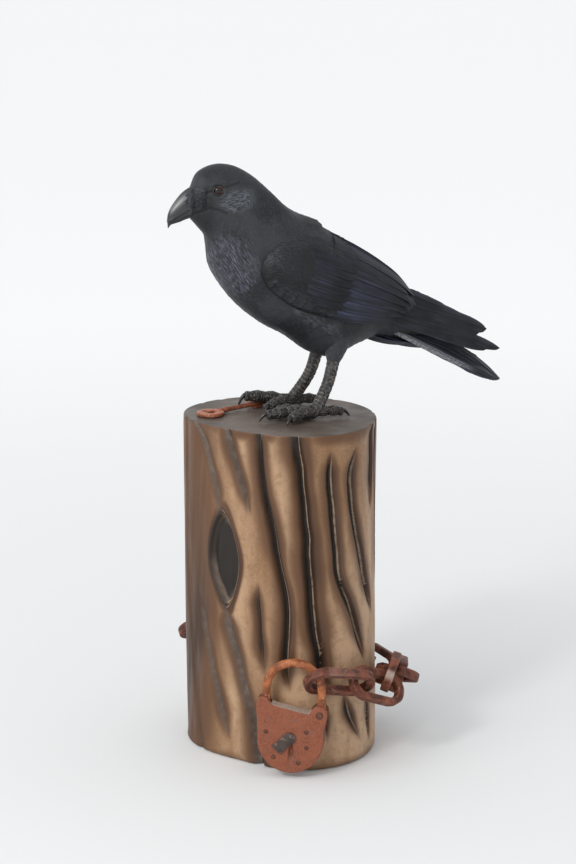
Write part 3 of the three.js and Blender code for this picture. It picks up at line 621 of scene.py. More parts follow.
def body_width_at(x, z):
    """Half width of the body at a point of its side view."""
    low, high = np.zeros(np.shape(x)), np.ones(np.shape(x))
    for _ in range(22):
        middle = (low + high) / 2
        bx, bz, lx, lz, _half = np.moveaxis(run(BODY, middle), -1, 0)
        past = (lx - bx) * (z - bz) - (lz - bz) * (x - bx) > 0
        low, high = np.where(past, middle, low), np.where(past, high, middle)
    bx, bz, lx, lz, half = np.moveaxis(run(BODY, low), -1, 0)
    dx, dz = lx - bx, lz - bz
    share = ((x - bx) * dx + (z - bz) * dz) / (dx * dx + dz * dz)
    return slice_width(half, np.clip(share, 0.015, 0.985))


# Carved lines in side view: points, how wide, how deep, and how dark the painted shade in them is
CREASES = [
    ([(-102, 196.6), (-95.3, 197.9), (-87.4, 199.7), (-84.2, 200.4)], 1.0, 0.9, 1.0),
    ([(-75.4, 203), (-68, 205.2), (-60.5, 206.9)], 0.9, 0.4, 0.6),
    ([(-104.6, 179.2), (-94.9, 182.5), (-87, 186), (-79, 184.6), (-73, 181.6)], 1.1, 0.7, 0.62),
]
BROW = ([(-92, 203.4), (-86.4, 205.8), (-81, 207.2), (-74, 207)], 2.0, 1.3)

# Sizes of the body's feathers from bill to tail, along and across, and how thick they are
BACK_FEATHERS = ([3, 3.4, 4.4, 6.6, 8.6, 9.6, 10.4, 11], [2.6, 3, 4, 6.4, 8, 9, 9.5, 9])
BELLY_FEATHERS = ([3, 4.6, 7.5, 9, 9.5, 10, 11, 12], [2.4, 3, 3.6, 4.4, 7, 8, 8, 8])
BODY_THICK = [0.05, 0.08, 0.22, 0.62, 0.8, 0.75, 0.8, 0.8]

# Ovals in side view: the painted ear, the worked patches of the belly and the long feathers of the breast
EAR_PATCH = {"middle": (-63.5, 192), "long": 17.5, "tall": 10.5, "lean": 14}
BELLY_PATCHES = [((-11.9, 97), 8, 5), ((-1, 88), 8, 5), ((15.7, 80), 11, 4.5), ((-30, 112), 6, 4)]
HACKLES = {"middle": (-72, 136), "long": 25, "tall": 30}
HACKLE_LEAN = math.radians(24)
HACKLE_TURN = {"middle": (-70, 132), "long": 58, "tall": 62}
CHEST_ARC = {"middle": (-62, 128), "radius": 24, "wide": 6, "deep": 0.25}

# The mantle's last feathers end in steps across the back: where along the back line, how high
BACK_STEPS = [(13, 2.6), (38, 1.6), (60, 1.4), (84, 1.2)]
STEP_LONG = 22


def body_relief(points, u_mm, w_mm):
    """How far the carved feathers stand out, and the tones of their paint."""
    x, z = points[..., 0], points[..., 2]
    t = span(len(points)) + 0 * x
    under = ease(0.3, 0.75, w_mm / w_mm.max(1, keepdims=True))
    sizes = zip(BACK_FEATHERS, BELLY_FEATHERS)
    long, wide = (lerp(run(back, t), run(belly, t), under) for back, belly in sizes)
    u = np.cumsum(np.diff(u_mm, axis=0, prepend=0) / long, axis=0)
    w = np.cumsum(np.diff(w_mm, axis=1, prepend=0) / wide, axis=1)
    w = np.minimum(w, w[:, ::-1])
    wobble = 0.35 * noise(u * 0.4, w * 0.4, 3)
    height, edge, own = feather_rows(u + wobble, w + 0.5 * wobble)
    hackle, ear = ellipse(x, z, HACKLES), ellipse(x, z, EAR_PATCH)
    relief = run(BODY_THICK, t) * (height - 0.5) * (1 + 0.5 * hackle)
    relief += 0.35 * noise(u * 0.5, w * 0.5, 9) * ease(0.12, 0.4, t)
    # dark is painted shade in the carved creases
    dark = 0 * x
    for path, wide, deep, shade_darkness in CREASES:
        near = bell(near_path(x, z, path) / wide)
        relief -= deep * near
        dark = np.maximum(dark, shade_darkness * near)
    path, wide, tall = BROW
    relief += tall * bell(near_path(x, z, path) / wide)
    relief += ear * (0.5 + 0.25 * noise(u * 1.2, w * 2.4, 4))
    arc_x, arc_z = CHEST_ARC["middle"]
    from_arc = np.hypot(x - arc_x, z - arc_z) - CHEST_ARC["radius"]
    relief -= CHEST_ARC["deep"] * bell(from_arc / CHEST_ARC["wide"]) * hackle
    # violet_sheen is a painted sheen: violet light on feather edges and over the breast's long feathers
    violet_sheen = edge * (0.25 + 0.75 * own) * (0.2 + 0.6 * hackle) * ease(0.15, 0.3, t)
    violet_sheen += 0.62 * hackle * (0.6 + 0.4 * noise(u * 0.8, w * 1.6, 21))
    patches = 0.2 * ease(0.35, 0.8, noise(u * 0.28, w * 0.28, 12)) * under * ease(0.45, 0.6, t)
    for middle, long, tall in BELLY_PATCHES:
        patch = ellipse(x, z, {"middle": middle, "long": long, "tall": tall, "lean": -25})
        patches = np.maximum(patches, 0.55 * patch)
    return relief, vec(np.clip(violet_sheen, 0, 1), dark, np.clip(ear * 0.62 + 0.55 * patches, 0, 1))


def side_grid(upper, lower, share, y):
    """Points between an upper and a lower line of the side view."""
    return vec(lerp(upper[..., 0], lower[..., 0], share), y, lerp(upper[..., 1], lower[..., 1], share))


def raven_body(paint):
    rings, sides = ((330, 216))
    t, turn = span(rings), circle(sides)[None]
    slices = run(BODY, t)
    share = (1 - np.cos(turn)) / 2 + 0 * t
    y = np.sign(np.sin(turn)) * slice_width(slices[..., 4], share)
    grid = side_grid(slices[..., :2], slices[..., 2:4], share, y)
    x, z = grid[..., 0], grid[..., 2]
    u_mm, w_mm = lengths(grid, 0), lengths(grid, 1)
    w_mm = np.minimum(w_mm, w_mm[:, -1:] + 1 - w_mm)
    relief, tone = body_relief(grid, u_mm, w_mm)
    for where, tall in BACK_STEPS:
        ragged = where + 2.5 * noise(w_mm * 0.16, w_mm * 0, 2) - 0.0036 * w_mm ** 1.5
        ramp = np.clip((x - ragged) / STEP_LONG + 1, 0, 1) * (x < ragged)
        relief += tall * ramp ** 2 * ease(34, 12, w_mm)
    eye = np.hypot(x - EYE_PLACE[0], z - EYE_PLACE[2])
    relief += 0.7 * bell((eye - 6.2) / 1.6) - 2.2 * ease(5, 3, eye)
    fade = ease(0, 0.02, t) * ease(1, 0.985, t)
    grid = grid + normals(grid, True) * (relief * fade)[..., None]
    x, z = grid[..., 0], grid[..., 2]
    heart = np.argmax(ellipse(x, z, HACKLES) - np.abs(turn - 2.4) * 0.01)
    lean = HACKLE_LEAN * ellipse(x, z, HACKLE_TURN)
    along, beside = leaned(u_mm - u_mm.flat[heart], w_mm - w_mm.flat[heart], lean)
    flow = vec(along, beside + 0.55 * ellipse(x, z, EAR_PATCH) * (u_mm - 28), 0)
    shells = Shells()
    shells.add_rings(grid, flow, tone)
    for side in (-1, 1):
        add_thigh(shells, side)
    body = shells.build("raven_body", paint, "raven_paint", place_bird)
    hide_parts("raven")


# The bill: arched upper edge, hooked tip and the cutting edge between its halves
BILL_UPPER = [(-90, 206), (-99.1, 203.2), (-107, 198.4), (-113.6, 191.2), (-118.6, 183.6), (-120.4, 176.6),
              (-120, 169.4)]
BILL_LOWER = [(-90, 176), (-99, 176.4), (-104, 175.4), (-109.5, 173.4), (-114, 172.2), (-117.4, 171.2),
              (-119.6, 168.4)]
BILL_HALF = [9.4, 8.6, 7.2, 5.6, 4, 2.5, 0.9]
BILL_KEEL = 0.16
CUTTING_EDGE = [(-119.4, 173.4), (-113, 177.4), (-103.9, 183.1), (-94, 188), (-88, 190)]
# A painted highlight runs along this line on the upper bill
BILL_HIGHLIGHT = [(-118, 184.5), (-112.5, 190), (-104, 196)]
# Where the face ends and where the bill starts, and the bill's x at its first five of seven sections
FACE_END, BILL_START = -97, -91
BILL_PLACES = [90, 99, 106, 112, 116.5]


def raven_bill(paint):
    t, turn = span(110), circle(96)[None]
    share = (1 - np.cos(turn)) / 2 + 0 * t
    y = np.sin(turn) * run(BILL_HALF, t) * (1 - BILL_KEEL * np.cos(turn))
    grid = side_grid(run(BILL_UPPER, t), run(BILL_LOWER, t), share, y)
    x, z = grid[..., 0], grid[..., 2]
    near = near_path(x, z, CUTTING_EDGE)
    cut_z = np.interp(x, *zip(*CUTTING_EDGE))
    relief = -0.55 * bell(near / 0.5) - 0.5 * ease(0.2, 1.2, cut_z - z) * (share < 0.93)
    relief += 0.3 * bell((near - 1.3) / 0.7) * (z > cut_z)
    fade = ease(1, 0.9, t) * np.minimum(1, np.abs(y) / 1.2)
    grid = grid + normals(grid, True) * (relief * fade)[..., None]
    # painted highlight along the upper bill
    painted_highlight = 0.55 * bell(near_path(x, z, BILL_HIGHLIGHT) / 2.4) * ease(0.05, 0.3, t)
    shells = Shells()
    shells.add_rings(grid, vec(lengths(grid, 0), share * 30, 0), vec(0, 0.95 * bell(near / 0.45), painted_highlight))
    shells.build("raven_bill", paint, "raven_paint", place_bird)


def bill_width(x, z):
    """Half width of the bill, or of the face behind it, at a point of the side view."""
    face = float(body_width_at(np.array(x), np.array(z))) if x > FACE_END else 0
    if x > BILL_START:
        return face
    t = np.interp(-x, BILL_PLACES, np.arange(5) / 6)
    upper, lower = run(BILL_UPPER, t), run(BILL_LOWER, t)
    share = np.clip((upper[1] - z) / (upper[1] - lower[1]), 0.04, 0.96)
    turn = math.acos(1 - 2 * share)
    return max(math.sin(turn) * float(run(BILL_HALF, t)) * (1 - BILL_KEEL * math.cos(turn)), face)


def raven_bristles(paint):
    """Fine stiff feathers that lie forward over the base of the bill."""
    draw = np.random.default_rng(11)
    shells = Shells()
    upper_x, upper_z = zip(*BILL_UPPER[::-1])
    for side in (-1, 1):
        for _ in range(190):
            start = np.array([draw.uniform(-100, -90), draw.uniform(186, 203)])
            reach = draw.uniform(7, 12) * (0.5 + 0.5 * (start[1] - 187) / 16)
            tip = start + reach * np.array([-1, -draw.uniform(0.34, 0.6)])
            path = []
            for t in np.linspace(0, 1, 6):
                x, z = lerp(start, tip, t)
                z = min(z + 0.8 * math.sin(math.pi * t), np.interp(x, upper_x, upper_z) - 1.5)
                path.append((x, side * (bill_width(x, z) + 0.75 - 0.5 * t), z))
            tube = Tube(path, 0.42 * np.sqrt(np.linspace(1, 0.02, 6)), 5)
            shells.add_rings(tube.rings(), vec(tube.length + 0 * tube.turn, 0, 0))
    shells.build("raven_bristles", paint, "raven_paint", place_bird)


# The folded wing: upper and lower edges in side view, and how far it stands out from the body
WING_UPPER = [(-45, 146), (-40, 156), (-27, 165.5), (-11, 168), (8, 164.5), (28, 155.5), (48, 145),
              (68, 132.8), (86, 119.5), (102, 103)]
WING_LOWER = [(-46.5, 142), (-47, 129), (-39.5, 116.5), (-24, 103.5), (-7, 95.6), (13, 90), (33, 85.6),
              (53, 82.6), (72, 80.2), (92, 79)]
WING_RISE = 6.4
WING_EDGE = 3.2
WING_THICK = 6.5
WING_SHELL_END = 0.9
# Its small feathers: size and thickness from front to back, the way they lean and where they start
WING_FEATHERS = [3.4, 3.8, 4.6, 6, 9, 12, 12]
WING_RELIEF = [0.22, 0.3, 0.34, 0.36, 0.3, 0.3]
WING_LEAN = math.radians(32)
WING_START = (34, 24)
SCALLOP_LONG = 8.2


def wing_surface(t, across):
    t, across = np.broadcast_arrays(np.asarray(t, float), np.asarray(across, float))
    point = lerp(run(WING_UPPER, t), run(WING_LOWER, t), across[..., None])
    bulge = np.sin(math.pi * np.clip(across, 0, 1)) ** 0.8 * np.minimum(1, t * 4 + 0.25)
    y = body_width_at(point[..., 0], point[..., 1]) + WING_EDGE + (WING_RISE - WING_EDGE) * bulge
    return vec(point[..., 0], y, point[..., 1])


def mirrored(points, side):
    return np.array(points) * np.array([1, side, 1])


def raven_wings(paint):
    rows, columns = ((190, 110))
    t, across = np.linspace(0, WING_SHELL_END, rows)[:, None], span(columns).T
    grid = wing_surface(t, across)
    u_mm, w_mm = lengths(grid, 0), lengths(grid, 1)
    du, dw = u_mm - WING_START[0], w_mm - WING_START[1]
    along, beside = leaned(du, dw, WING_LEAN)
    size = run(WING_FEATHERS, t)
    ruffle = 0.3 * noise(du / 9, dw / 9, 7)
    height, edge, own = feather_rows(along / size + ruffle, beside / (size * 0.8), seed=3)
    relief = run(WING_RELIEF, t) * (height - 0.4) + 0.5 * noise(du / 13, dw / 13, 8)
    # The edges dip, most of all at the upper front, where the wing sinks into the shoulder
    relief -= 1.6 * (1 - ease(0, 0.07, across)) + 0.8 * (1 - ease(0, 0.05, 1 - across))
    relief -= 6 * ease(0.66, 0.02, across) * ease(0.5, 0.02, t)
    relief -= 2.6 * ease(0.3, 0, across) * ease(0.8, 0.4, t)
    # A band of scalloped feathers along the lower edge
    band = ease(0.76, 0.82, across) * ease(0.985, 0.95, across) * ease(0.17, 0.24, t) * ease(0.52, 0.44, t)
    scallop = np.mod((u_mm - 0.35 * w_mm) / SCALLOP_LONG, 1)
    relief += band * (1.0 * scallop ** 1.5 - 0.3)
    # blue_sheen: a painted sheen on the small feathers' edges, on the shoulder and on the scalloped band
    blue_sheen = edge * (0.15 + 0.5 * own) * (0.25 + 0.4 * ease(0.35, 0.6, t))
    shoulder = bell((t - 0.3) / 0.13) * bell((across - 0.1) / 0.2)
    blue_sheen = np.maximum(blue_sheen, 0.2 * shoulder + 0.14 * band * ease(0.6, 0.95, scallop))
    # front is a painted highlight on the front of the wing, laid in through the grey patch tone
    front = bell((t - 0.13) / 0.11) * bell((across - 0.42) / 0.28)
    # rim is painted shade along the wing's lower edge and front end, where it meets the body
    rim = np.maximum(1 - ease(0, 0.035, 1 - across), (1 - ease(0, 0.02, t)) * ease(0.3, 0.6, across))
    grid = grid + normals(grid, False) * relief[..., None]
    under = grid - np.array([0, WING_THICK, 0])
    flow = 1.5 * vec(along, beside, 0)
    tone = vec(blue_sheen, 0.85 * rim, 0.36 * front + 0.06 * band)
    for side, name in ((-1, "raven_wing_left"), (1, "raven_wing_right")):
        shells = Shells()
        shells.add_sheet(mirrored(grid, side), mirrored(under, side), flow, tone)
        shells.build(name, paint, "raven_paint", place_bird)


# Feathers laid on the wing. Start and end are along it, top and foot across it. Lift is how far the lower
# edge stands out, sunk how deep the start is and blue_sheen how strong the painted sheen on it is. Each next
# one ends a step sooner
SECONDARIES = {"count": 5, "start": 0.5, "end": 1.0, "top": 0.22, "foot": 1.0, "lift": 2.0, "blue_sheen": 1.0,
               "sunk": 0.9, "seed": 31, "step": 0.016}
TERTIALS = {"count": 3, "start": 0.5, "end": 1.0, "top": -0.02, "foot": 0.4, "lift": 1.5, "blue_sheen": 0.3,
            "sunk": 9, "seed": 41, "step": 0.05}
COVERTS = {"count": 6, "start": 0.36, "end": 0.64, "top": 0.24, "foot": 0.86, "lift": 1.2, "blue_sheen": 0.35,
           "sunk": 1.6, "seed": 21, "step": 0.006}
LAID_OVERLAP = 1.3
LAID_THICK = 1.4
WING_LONG, WING_TALL = 150, 55
# A long feather rounds off over the last part of its length
TIP_FROM, TIP_LONG = 0.72, 0.28


def add_laid(shells, side, laid):
    """Feathers that lie on the wing, each with its lower edge proud of the one below."""
    t, a = span(44), np.linspace(-1, 1, 15)[None]
    half = (laid["foot"] - laid["top"]) / laid["count"] / 2 * LAID_OVERLAP
    round_tip = round_end(t - TIP_FROM, TIP_LONG, 0.01)
    for k in range(laid["count"]):
        own = [scatter(k, i, laid["seed"]) for i in range(5)]
        middle = lerp(laid["top"], laid["foot"], (k + 0.5) / laid["count"])
        start = laid["start"] + 0.05 * own[1]
        end = laid["end"] - laid["step"] * k * (1 + 0.2 * own[2])
        place = wing_surface(lerp(start, end, t), np.clip(middle + a * half * round_tip, -0.06, 1.0))
        rise = laid["lift"] * (0.5 + 0.5 * a) * (0.2 + 0.8 * t) + 0.3 * np.sqrt(1 - a ** 2 * 0.98)
        rise = rise * ease(0, 0.3, t) + 0.25 * (1 - k / (laid["count"] - 1)) - laid["sunk"] * ease(0.24, 0, t)
        top, under = place + vec(0, rise + 0.1, 0), place - np.array([0, LAID_THICK, 0])
        flow = vec(t * (end - start) * WING_LONG, a * half * WING_TALL * round_tip, own[3] * 40)
        # glow and line are the painted sheen across the feather and along one edge
        glow = 1.2 * bell((t - 0.36) / 0.28) * ease(0.75, -0.2, a) * (0.4 + 0.6 * own[4])
        line = 0.9 * bell((a - 0.82) / 0.12) * ease(0.1, 0.3, t) * ease(0.9, 0.5, t)
        # The second tone is painted shade along the upper edge, tucked under the feather above
        tone = vec(laid["blue_sheen"] * (glow + line), 0.85 * ease(-0.6, -0.95, a) * ease(0.1, 0.3, t), 0)
        shells.add_sheet(mirrored(top, side), mirrored(under, side), flow, tone)


# Long flight feathers past the wing: base, tip, width, thickness
PRIMARIES = [
    ((50, 22, 95), (172, 15, 50.2), 12, 2.8),
    ((50, 21, 98), (185.5, 13, 49.6), 13, 3.4),
    ((52, 20, 100), (150, 12.5, 62), 13, 3),
    ((54, 18, 104), (166, 11, 64.5), 16, 3.4),
    ((56, 16, 107), (174.5, 8, 66.8), 18, 3.4),
    ((60, 13, 112), (158, 7.5, 75), 14, 3),
    ((64, 11, 117), (140, 7, 84), 13, 3),
]


def add_feather(shells, base, tip, width, thick, sag, out, pale=0.0, seed=0, rows=54, columns=17):
    """One long blade with a raised shaft, a rounded tip and a few splits in its edge."""
    base, out = np.asarray(base, float), unit(out)
    along = np.asarray(tip, float) - base
    flat = unit(np.cross(along, out))
    t, a = span(rows), np.linspace(-1, 1, columns)[None]
    half = width / 2 * round_end(t - TIP_FROM, TIP_LONG, 0.004) * lerp(0.8, 1, np.minimum(1, t * 3))
    nick = 0.06 * noise(t * 16, 0 * t, seed) * (np.abs(a) > 0.85)
    deep = thick * lerp(1, 0.5, t)
    lift = deep * (0.6 - np.abs(a) ** 1.6) + 0.45 * bell(a / 0.08) * ease(1, 0.85, t)
    thin = 0.5 + 0.45 * deep * (1 - a ** 2)
    blade = base + along * t[..., None] + out * (sag * 4 * t * (1 - t))[..., None]
    blade = blade + flat * (a * half * (1 - nick))[..., None]
    top, under = (blade + out * height[..., None] for height in (lift, lift - thin))
    low = a * -np.sign(flat[2])
    lit = 0.3 * ease(0.6, 1, np.abs(a)) * ease(0, 0.3, t) + 0.25 * ease(-0.2, 0.8, -low)
    band = ease(-0.7, -0.3, low) * ease(0.0, 0.12, t) * ease(0.97, 0.75, t)
    flow = vec(t * np.linalg.norm(along), a * half, seed * 3.7)
    shells.add_sheet(top, under, flow, vec(lit, 0, pale * band), under_tone=1)


def raven_flight_feathers(paint):
    for side, name in ((-1, "raven_flight_left"), (1, "raven_flight_right")):
        shells = Shells()
        for laid in (SECONDARIES, TERTIALS, COVERTS):
            add_laid(shells, side, laid)
        for k, (base, tip, width, thick) in enumerate(PRIMARIES):
            add_feather(shells, mirrored(base, side), mirrored(tip, side), width, thick, PRIMARY_SAG,
                        (0.1, side * 0.86, 0.5), seed=k + 5)
        shells.build(name, paint, "raven_paint", place_bird)


# The tail's fan, with the pale edges that show below it: base, tip and, for each side, how far both drop
TAIL = {"pairs": 5, "root": (86, 75), "tip": (192.5, 18.8), "slope": -0.47, "spread": 18, "short": 15,
        "bow": 10, "rise": 5, "roll": 0.36, "width": 16, "thick": 2.4}
PALE_EDGE = ((72, -11.5, 77.5), (168, -19.5, 27))
PALE_ROLL = {-1: (0, 0), 1: (-7, 12)}
# Width, thickness and sag of the pale edges and of the coverts
PALE_SIZE = (6.8, 1.6, 1.2)
COVERT_SIZE = (12, 3.2, 2.2)
PRIMARY_SAG = 0.6
# Two rows of coverts under the tail: x and height of the root, x and height of the tip, step sideways
UNDER_COVERTS = [(58, 68, 102, 58.5, 4.2), (74, 65, 124, 54.1, 3.15)]


def raven_tail(paint):
    shells = Shells()
    pairs = TAIL["pairs"]
    for k in sorted(range(-pairs, pairs + 1), key=lambda k: -abs(k)):
        outer = abs(k) / pairs
        y = k / pairs * TAIL["spread"]
        short = outer * TAIL["short"]
        tip_z = TAIL["tip"][1] - short * TAIL["slope"] + TAIL["rise"] * outer ** 2 + TAIL["roll"] * y
        root_z = TAIL["root"][1] + (3 if k < 0 else -4.5) * outer + 0.2 * y
        sag = TAIL["bow"] * (1 - outer ** 1.5) + (2 if k > 0 else 0) * outer
        out = (0.42, -0.25 + 0.45 * k / pairs, 0.9 - 0.25 * outer)
        root, tip = (TAIL["root"][0], y * 0.42, root_z), (TAIL["tip"][0] - short, y, tip_z)
        add_feather(shells, root, tip, TAIL["width"], TAIL["thick"], sag, out,
                    pale=0.12 if k == -pairs else 0.0, seed=k + 40, columns=15)
    for side, drops in PALE_ROLL.items():
        base, tip = (mirrored(place, -side) + np.array([0, 0, drop]) for place, drop in zip(PALE_EDGE, drops))
        add_feather(shells, base, tip, *PALE_SIZE, (0.2, side * 0.95, 0.35), pale=1.0, seed=90)
    shells.build("raven_tail", paint, "raven_paint", place_bird)
    coverts = Shells()
    for k in (-2, 2, -1, 1, 0):
        for root_x, root_z, tip_x, tip_z, step in UNDER_COVERTS:
            root, tip = (root_x, k * step, root_z - 0.2 * abs(k)), (tip_x - 2 * abs(k), 1.1 * k * step, tip_z)
            add_feather(coverts, root, tip, *COVERT_SIZE, (-0.2, 0.12 * k, -1),
                        seed=k + 70, rows=30, columns=13)
    coverts.build("raven_tail_coverts", paint, "raven_paint", place_bird)


# Legs and feet: paths in side view with radii, and where each ball of the foot stands
THIGH = ([(28, 68), (25.6, 58), (22.8, 47)], [12.5, 9.2, 4.9])
SHANK = ([(24.5, 54), (18.4, 31), (6.4, 9)], [5.6, 5.1, 5.3, 5])
LEG_SPREAD = 22
FEET = {-1: {"ball": (1.3, -25.4), "lift": 0}, 1: {"ball": (-0.5, 28.2), "lift": 6.5}}
# Toes: turn from the tail side, length, radius, claw length
TOES = [(180, 41, 5.7, 9), (143, 32, 5.4, 8.5), (217, 31, 5.4, 8.5), (3, 29, 4.9, 8.5)]
KNUCKLES = 3
SHANK_SCUTE, TOE_SCUTE = 3.6, 4.6
CLAW_RADIUS = 2.1


def add_thigh(shells, side):
    points, radii = THIGH
    t = np.linspace(0, 1, 60)
    path = run([(x, side * (LEG_SPREAD - 5 + 2 * i), z) for i, (x, z) in enumerate(points)], t)
    tube = Tube(path, run(radii, t), 48, up=(1, 0, 0))
    round_mm = tube.turn * 6
    height, edge, _own = feather_rows(tube.length / 5, round_mm / 4.7, seed=8)
    rings = tube.rings(0.7 * (height - 0.3) * ease(1, 0.7, t)[:, None])
    shells.add_rings(rings, vec(tube.length, round_mm, 0), vec(0.3 * edge, 0, 0))


def scutes(tube, radius, long, top_from=0.15):
    """Broad plates down the front or top and small ones elsewhere: height and how near a rim."""
    top = ease(top_from, top_from + 0.25, np.sin(tube.turn))
    saw = np.mod(tube.length / long + 0.06 * np.sin(tube.turn * 2), 1)
    u = tube.length / (long * 0.62)
    w = tube.turn * radius / (long * 0.75) + 0.5 * np.mod(np.floor(u), 2)
    near = 2 * np.maximum(*(np.abs(np.mod(v, 1) - 0.5) for v in (u, w)))
    pebble, pebble_rim = 1 - ease(0.6, 1, near), ease(0.55, 0.8, near) * ease(1.0, 0.85, near)
    plate, plate_rim = 1 - ease(0.72, 1, saw), bell((saw - 0.8) / 0.13)
    return lerp(pebble, plate, top), lerp(pebble_rim, plate_rim, top)


def raven_legs(skin, horn):
    feet, claws = Shells(), Shells()
    for side in (-1, 1):
        ball = np.array([*FEET[side]["ball"], 0.0])
        add_shank(feet, side, ball)
        for k, toe in enumerate(TOES):
            add_toe(feet, claws, side, ball, toe, FEET[side]["lift"] if k == 0 else 0)
    feet.build("raven_feet", skin, "raven_paint", place_bird)
    claws.build("raven_claws", horn, "raven_paint", place_bird)


def add_shank(shells, side, ball):
    (knee, middle, ankle), radii = SHANK
    shift = (ball[0] + 5 - ankle[0]) * 0.6
    t = np.linspace(0, 1, 90)
    path = run([
        (knee[0], side * (LEG_SPREAD - 1.5), knee[1]),
        (middle[0] + shift, side * LEG_SPREAD, middle[1]),
        (ball[0] + 5, ball[1], ankle[1]),
        (ball[0], ball[1], 6),
    ], t)
    tube = Tube(path, run(radii, t), 40, up=(-1, 0, 0))
    plate, rim = scutes(tube, radii[-1], SHANK_SCUTE)
    shells.add_rings(tube.rings(0.55 * (plate - 0.6)), None, vec(rim, 0.7 * (1 - plate) ** 3, 0.25))


def add_toe(feet, claws, side, ball, toe, lift):
    turn_to, long, radius, claw = toe
    angle = math.radians(turn_to * side)
    away = np.array([math.cos(angle), math.sin(angle), 0])
    t = np.linspace(0, 1, 70)
    swell = 0.5 + 0.5 * np.cos((t * KNUCKLES - 0.12) * 2 * math.pi)
    radii = radius * lerp(1, 0.86, t) * lerp(0.84, 1.03, swell) * round_end(t - 0.93, 0.085, 0.05)
    height = GAP + radius + lift * t + 1.6 * np.sin(math.pi * t)
    path = ball + away * (long * t)[:, None] + vec(0, 0, height)
    tube = Tube(path, radii, 36)
    plate, rim = scutes(tube, radius, TOE_SCUTE, top_from=0.55)
    rings = tube.rings(0.5 * (plate - 0.6))
    rings[..., 2] = np.maximum(rings[..., 2], GAP + lift * t[:, None])
    feet.add_rings(rings, None, vec(0.6 * rim, 0.5 * (1 - plate) ** 3, 1))
    s = np.linspace(0, 1, 26)
    end = path[-1]
    horn = end * np.array([1, 1, 0]) + away * (claw * (1.25 * s - 0.3 * s ** 2) - 2)[:, None]
    horn[:, 2] = lerp(end[2] + 1.6, GAP + 0.5, s ** 1.9)
    tube = Tube(horn, CLAW_RADIUS * np.sqrt(1 - 0.985 * s), 18)
    claws.add_rings(tube.rings(), vec(tube.length, tube.turn * 2, 0))


# The way the left or right eye looks, apart from its side, and the bare rim round it
EYE_LOOK = (-0.2, 0.05)
EYE_RIM = {"radius": 3.55, "thick": 0.4, "height": 0.94, "points": 0.22}


def raven_eyes(glass, lid):
    lat = np.linspace(0.02, math.pi - 0.02, 40)
    for side, name in ((-1, "left"), (1, "right")):
        middle = mirrored(EYE_PLACE, side)
        look = unit([EYE_LOOK[0], side, EYE_LOOK[1]])
        tube = Tube(middle + look * (np.cos(lat) * EYE_RADIUS)[:, None], np.sin(lat) * EYE_RADIUS, 48)
        from_pupil = (np.sin(lat) + (lat > 1.57) * 2)[:, None]
        shells = Shells()
        shells.add_rings(tube.rings(), vec(from_pupil + 0 * tube.turn, 0, 0))
        eye = shells.build("raven_eye_" + name, glass, "eye_glass", place_bird)
        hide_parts("eye_" + name)
        add_eye_rim(lid, name, middle, look)


def add_eye_rim(paint, name, middle, look):
    """The thin bare rim round the eye, drawn out to a point before and behind."""
    turn, tube = circle(72)[:, None], circle(12)[None, :, None]
    fore = np.array([-1.0, 0, -0.12])
    fore = unit(fore - look * fore.dot(look))
    up = np.cross(look, fore)
    up *= np.sign(up[2])
    long = EYE_RIM["radius"] * np.cos(turn) * (1 + EYE_RIM["points"] * np.cos(turn) ** 6)
    tall = EYE_RIM["radius"] * np.sin(turn) * EYE_RIM["height"]
    ring = middle + look * (1.5 - 0.35 * np.cos(turn) ** 2) + fore * long + up * tall
    away = unit(ring - (middle + look * 1.5))[:, None]
    thick = EYE_RIM["thick"] + 0.06 * np.sin(turn * 9)
    rings = ring[:, None] + thick[..., None] * (away * np.cos(tube) + look * np.sin(tube))
    shells = Shells()
    shells.add_rings(rings, closed=True)
    shells.build("raven_eye_rim_" + name, paint, "raven_paint", place_bird)


# The log: a lobed oval in plan, tapering and leaning a little towards its foot.
# Mean radius, then the size and direction of one, two and three lobes
LOG_TOP = (83.5, [(10.4, 76), (5.5, -47), (2.8, 51)])
LOG_FOOT = (80.6, [(14.5, 72), (6.8, -39), (2.4, 44)])

# Carved grooves: width, depth, grey wall and the path in degrees round the log and millimetres up it
GROOVES = [
    (8, 5, 0.2, [(-177, 304), (-180, 243), (-182, 197), (-180, 133), (-172, 47), (-166, -4)]),
    (9, 6, 0.95, [(-166, 304), (-156, 283), (-149, 262), (-144, 243), (-143.5, 228), (-144, 214)]),
    (9, 5.5, 0.85, [(-133, 304), (-129, 282), (-122, 260), (-117, 243), (-112, 222)]),
    (9, 6.5, 0.1, [(-105, 304), (-104, 278), (-101, 250), (-96, 225), (-91, 194), (-87, 171), (-84, 150),
                   (-84, 128), (-85, 100), (-83, 68)]),
    (13, 8, 0.05, [(-80, 304), (-77, 281), (-74, 252), (-72, 226), (-70, 195), (-67, 142), (-64, 120),
                   (-61, 98), (-59, 66)]),
    (8, 5, 0.1, [(-58, 290), (-58, 271), (-57, 246), (-53, 197), (-50, 169), (-39, 137), (-34, 120),
                 (-25, 86)]),
    (8, 5, 0.1, [(-40, 290), (-41, 280), (-43, 262), (-41, 234), (-37, 212), (-32, 187), (-23, 153),
                 (-16, 126)]),
    (9, 5.5, 0.5, [(-19, 304), (-19, 261), (-21, 222)]),
    (11, 6.5, 1.0, [(-143, 146), (-138, 131), (-132, 111), (-125, 91), (-119, 68), (-112, 47), (-108, 25),
                    (-104, -4)]),
    (9, 5, 0.7, [(-165, 148), (-161, 119), (-156, 93), (-150, 67), (-144, 38), (-138, 12)]),
    (7, 4, 0.05, [(-107, 171), (-106, 144), (-105, 121), (-101, 80)]),
    (8, 4, 0.2, [(-48, 72), (-43, 52), (-37, 34), (-29, 15)]),
    (8, 3.5, 0.2, [(-60, 66), (-57, 22)]),
    (7, 3.5, 0.2, [(-23, 66), (-13, 6)]),
    (7, 5, 0.2, [(-5, 304), (-7, 250), (-2, 180), (4, 120), (2, 60)]),
]
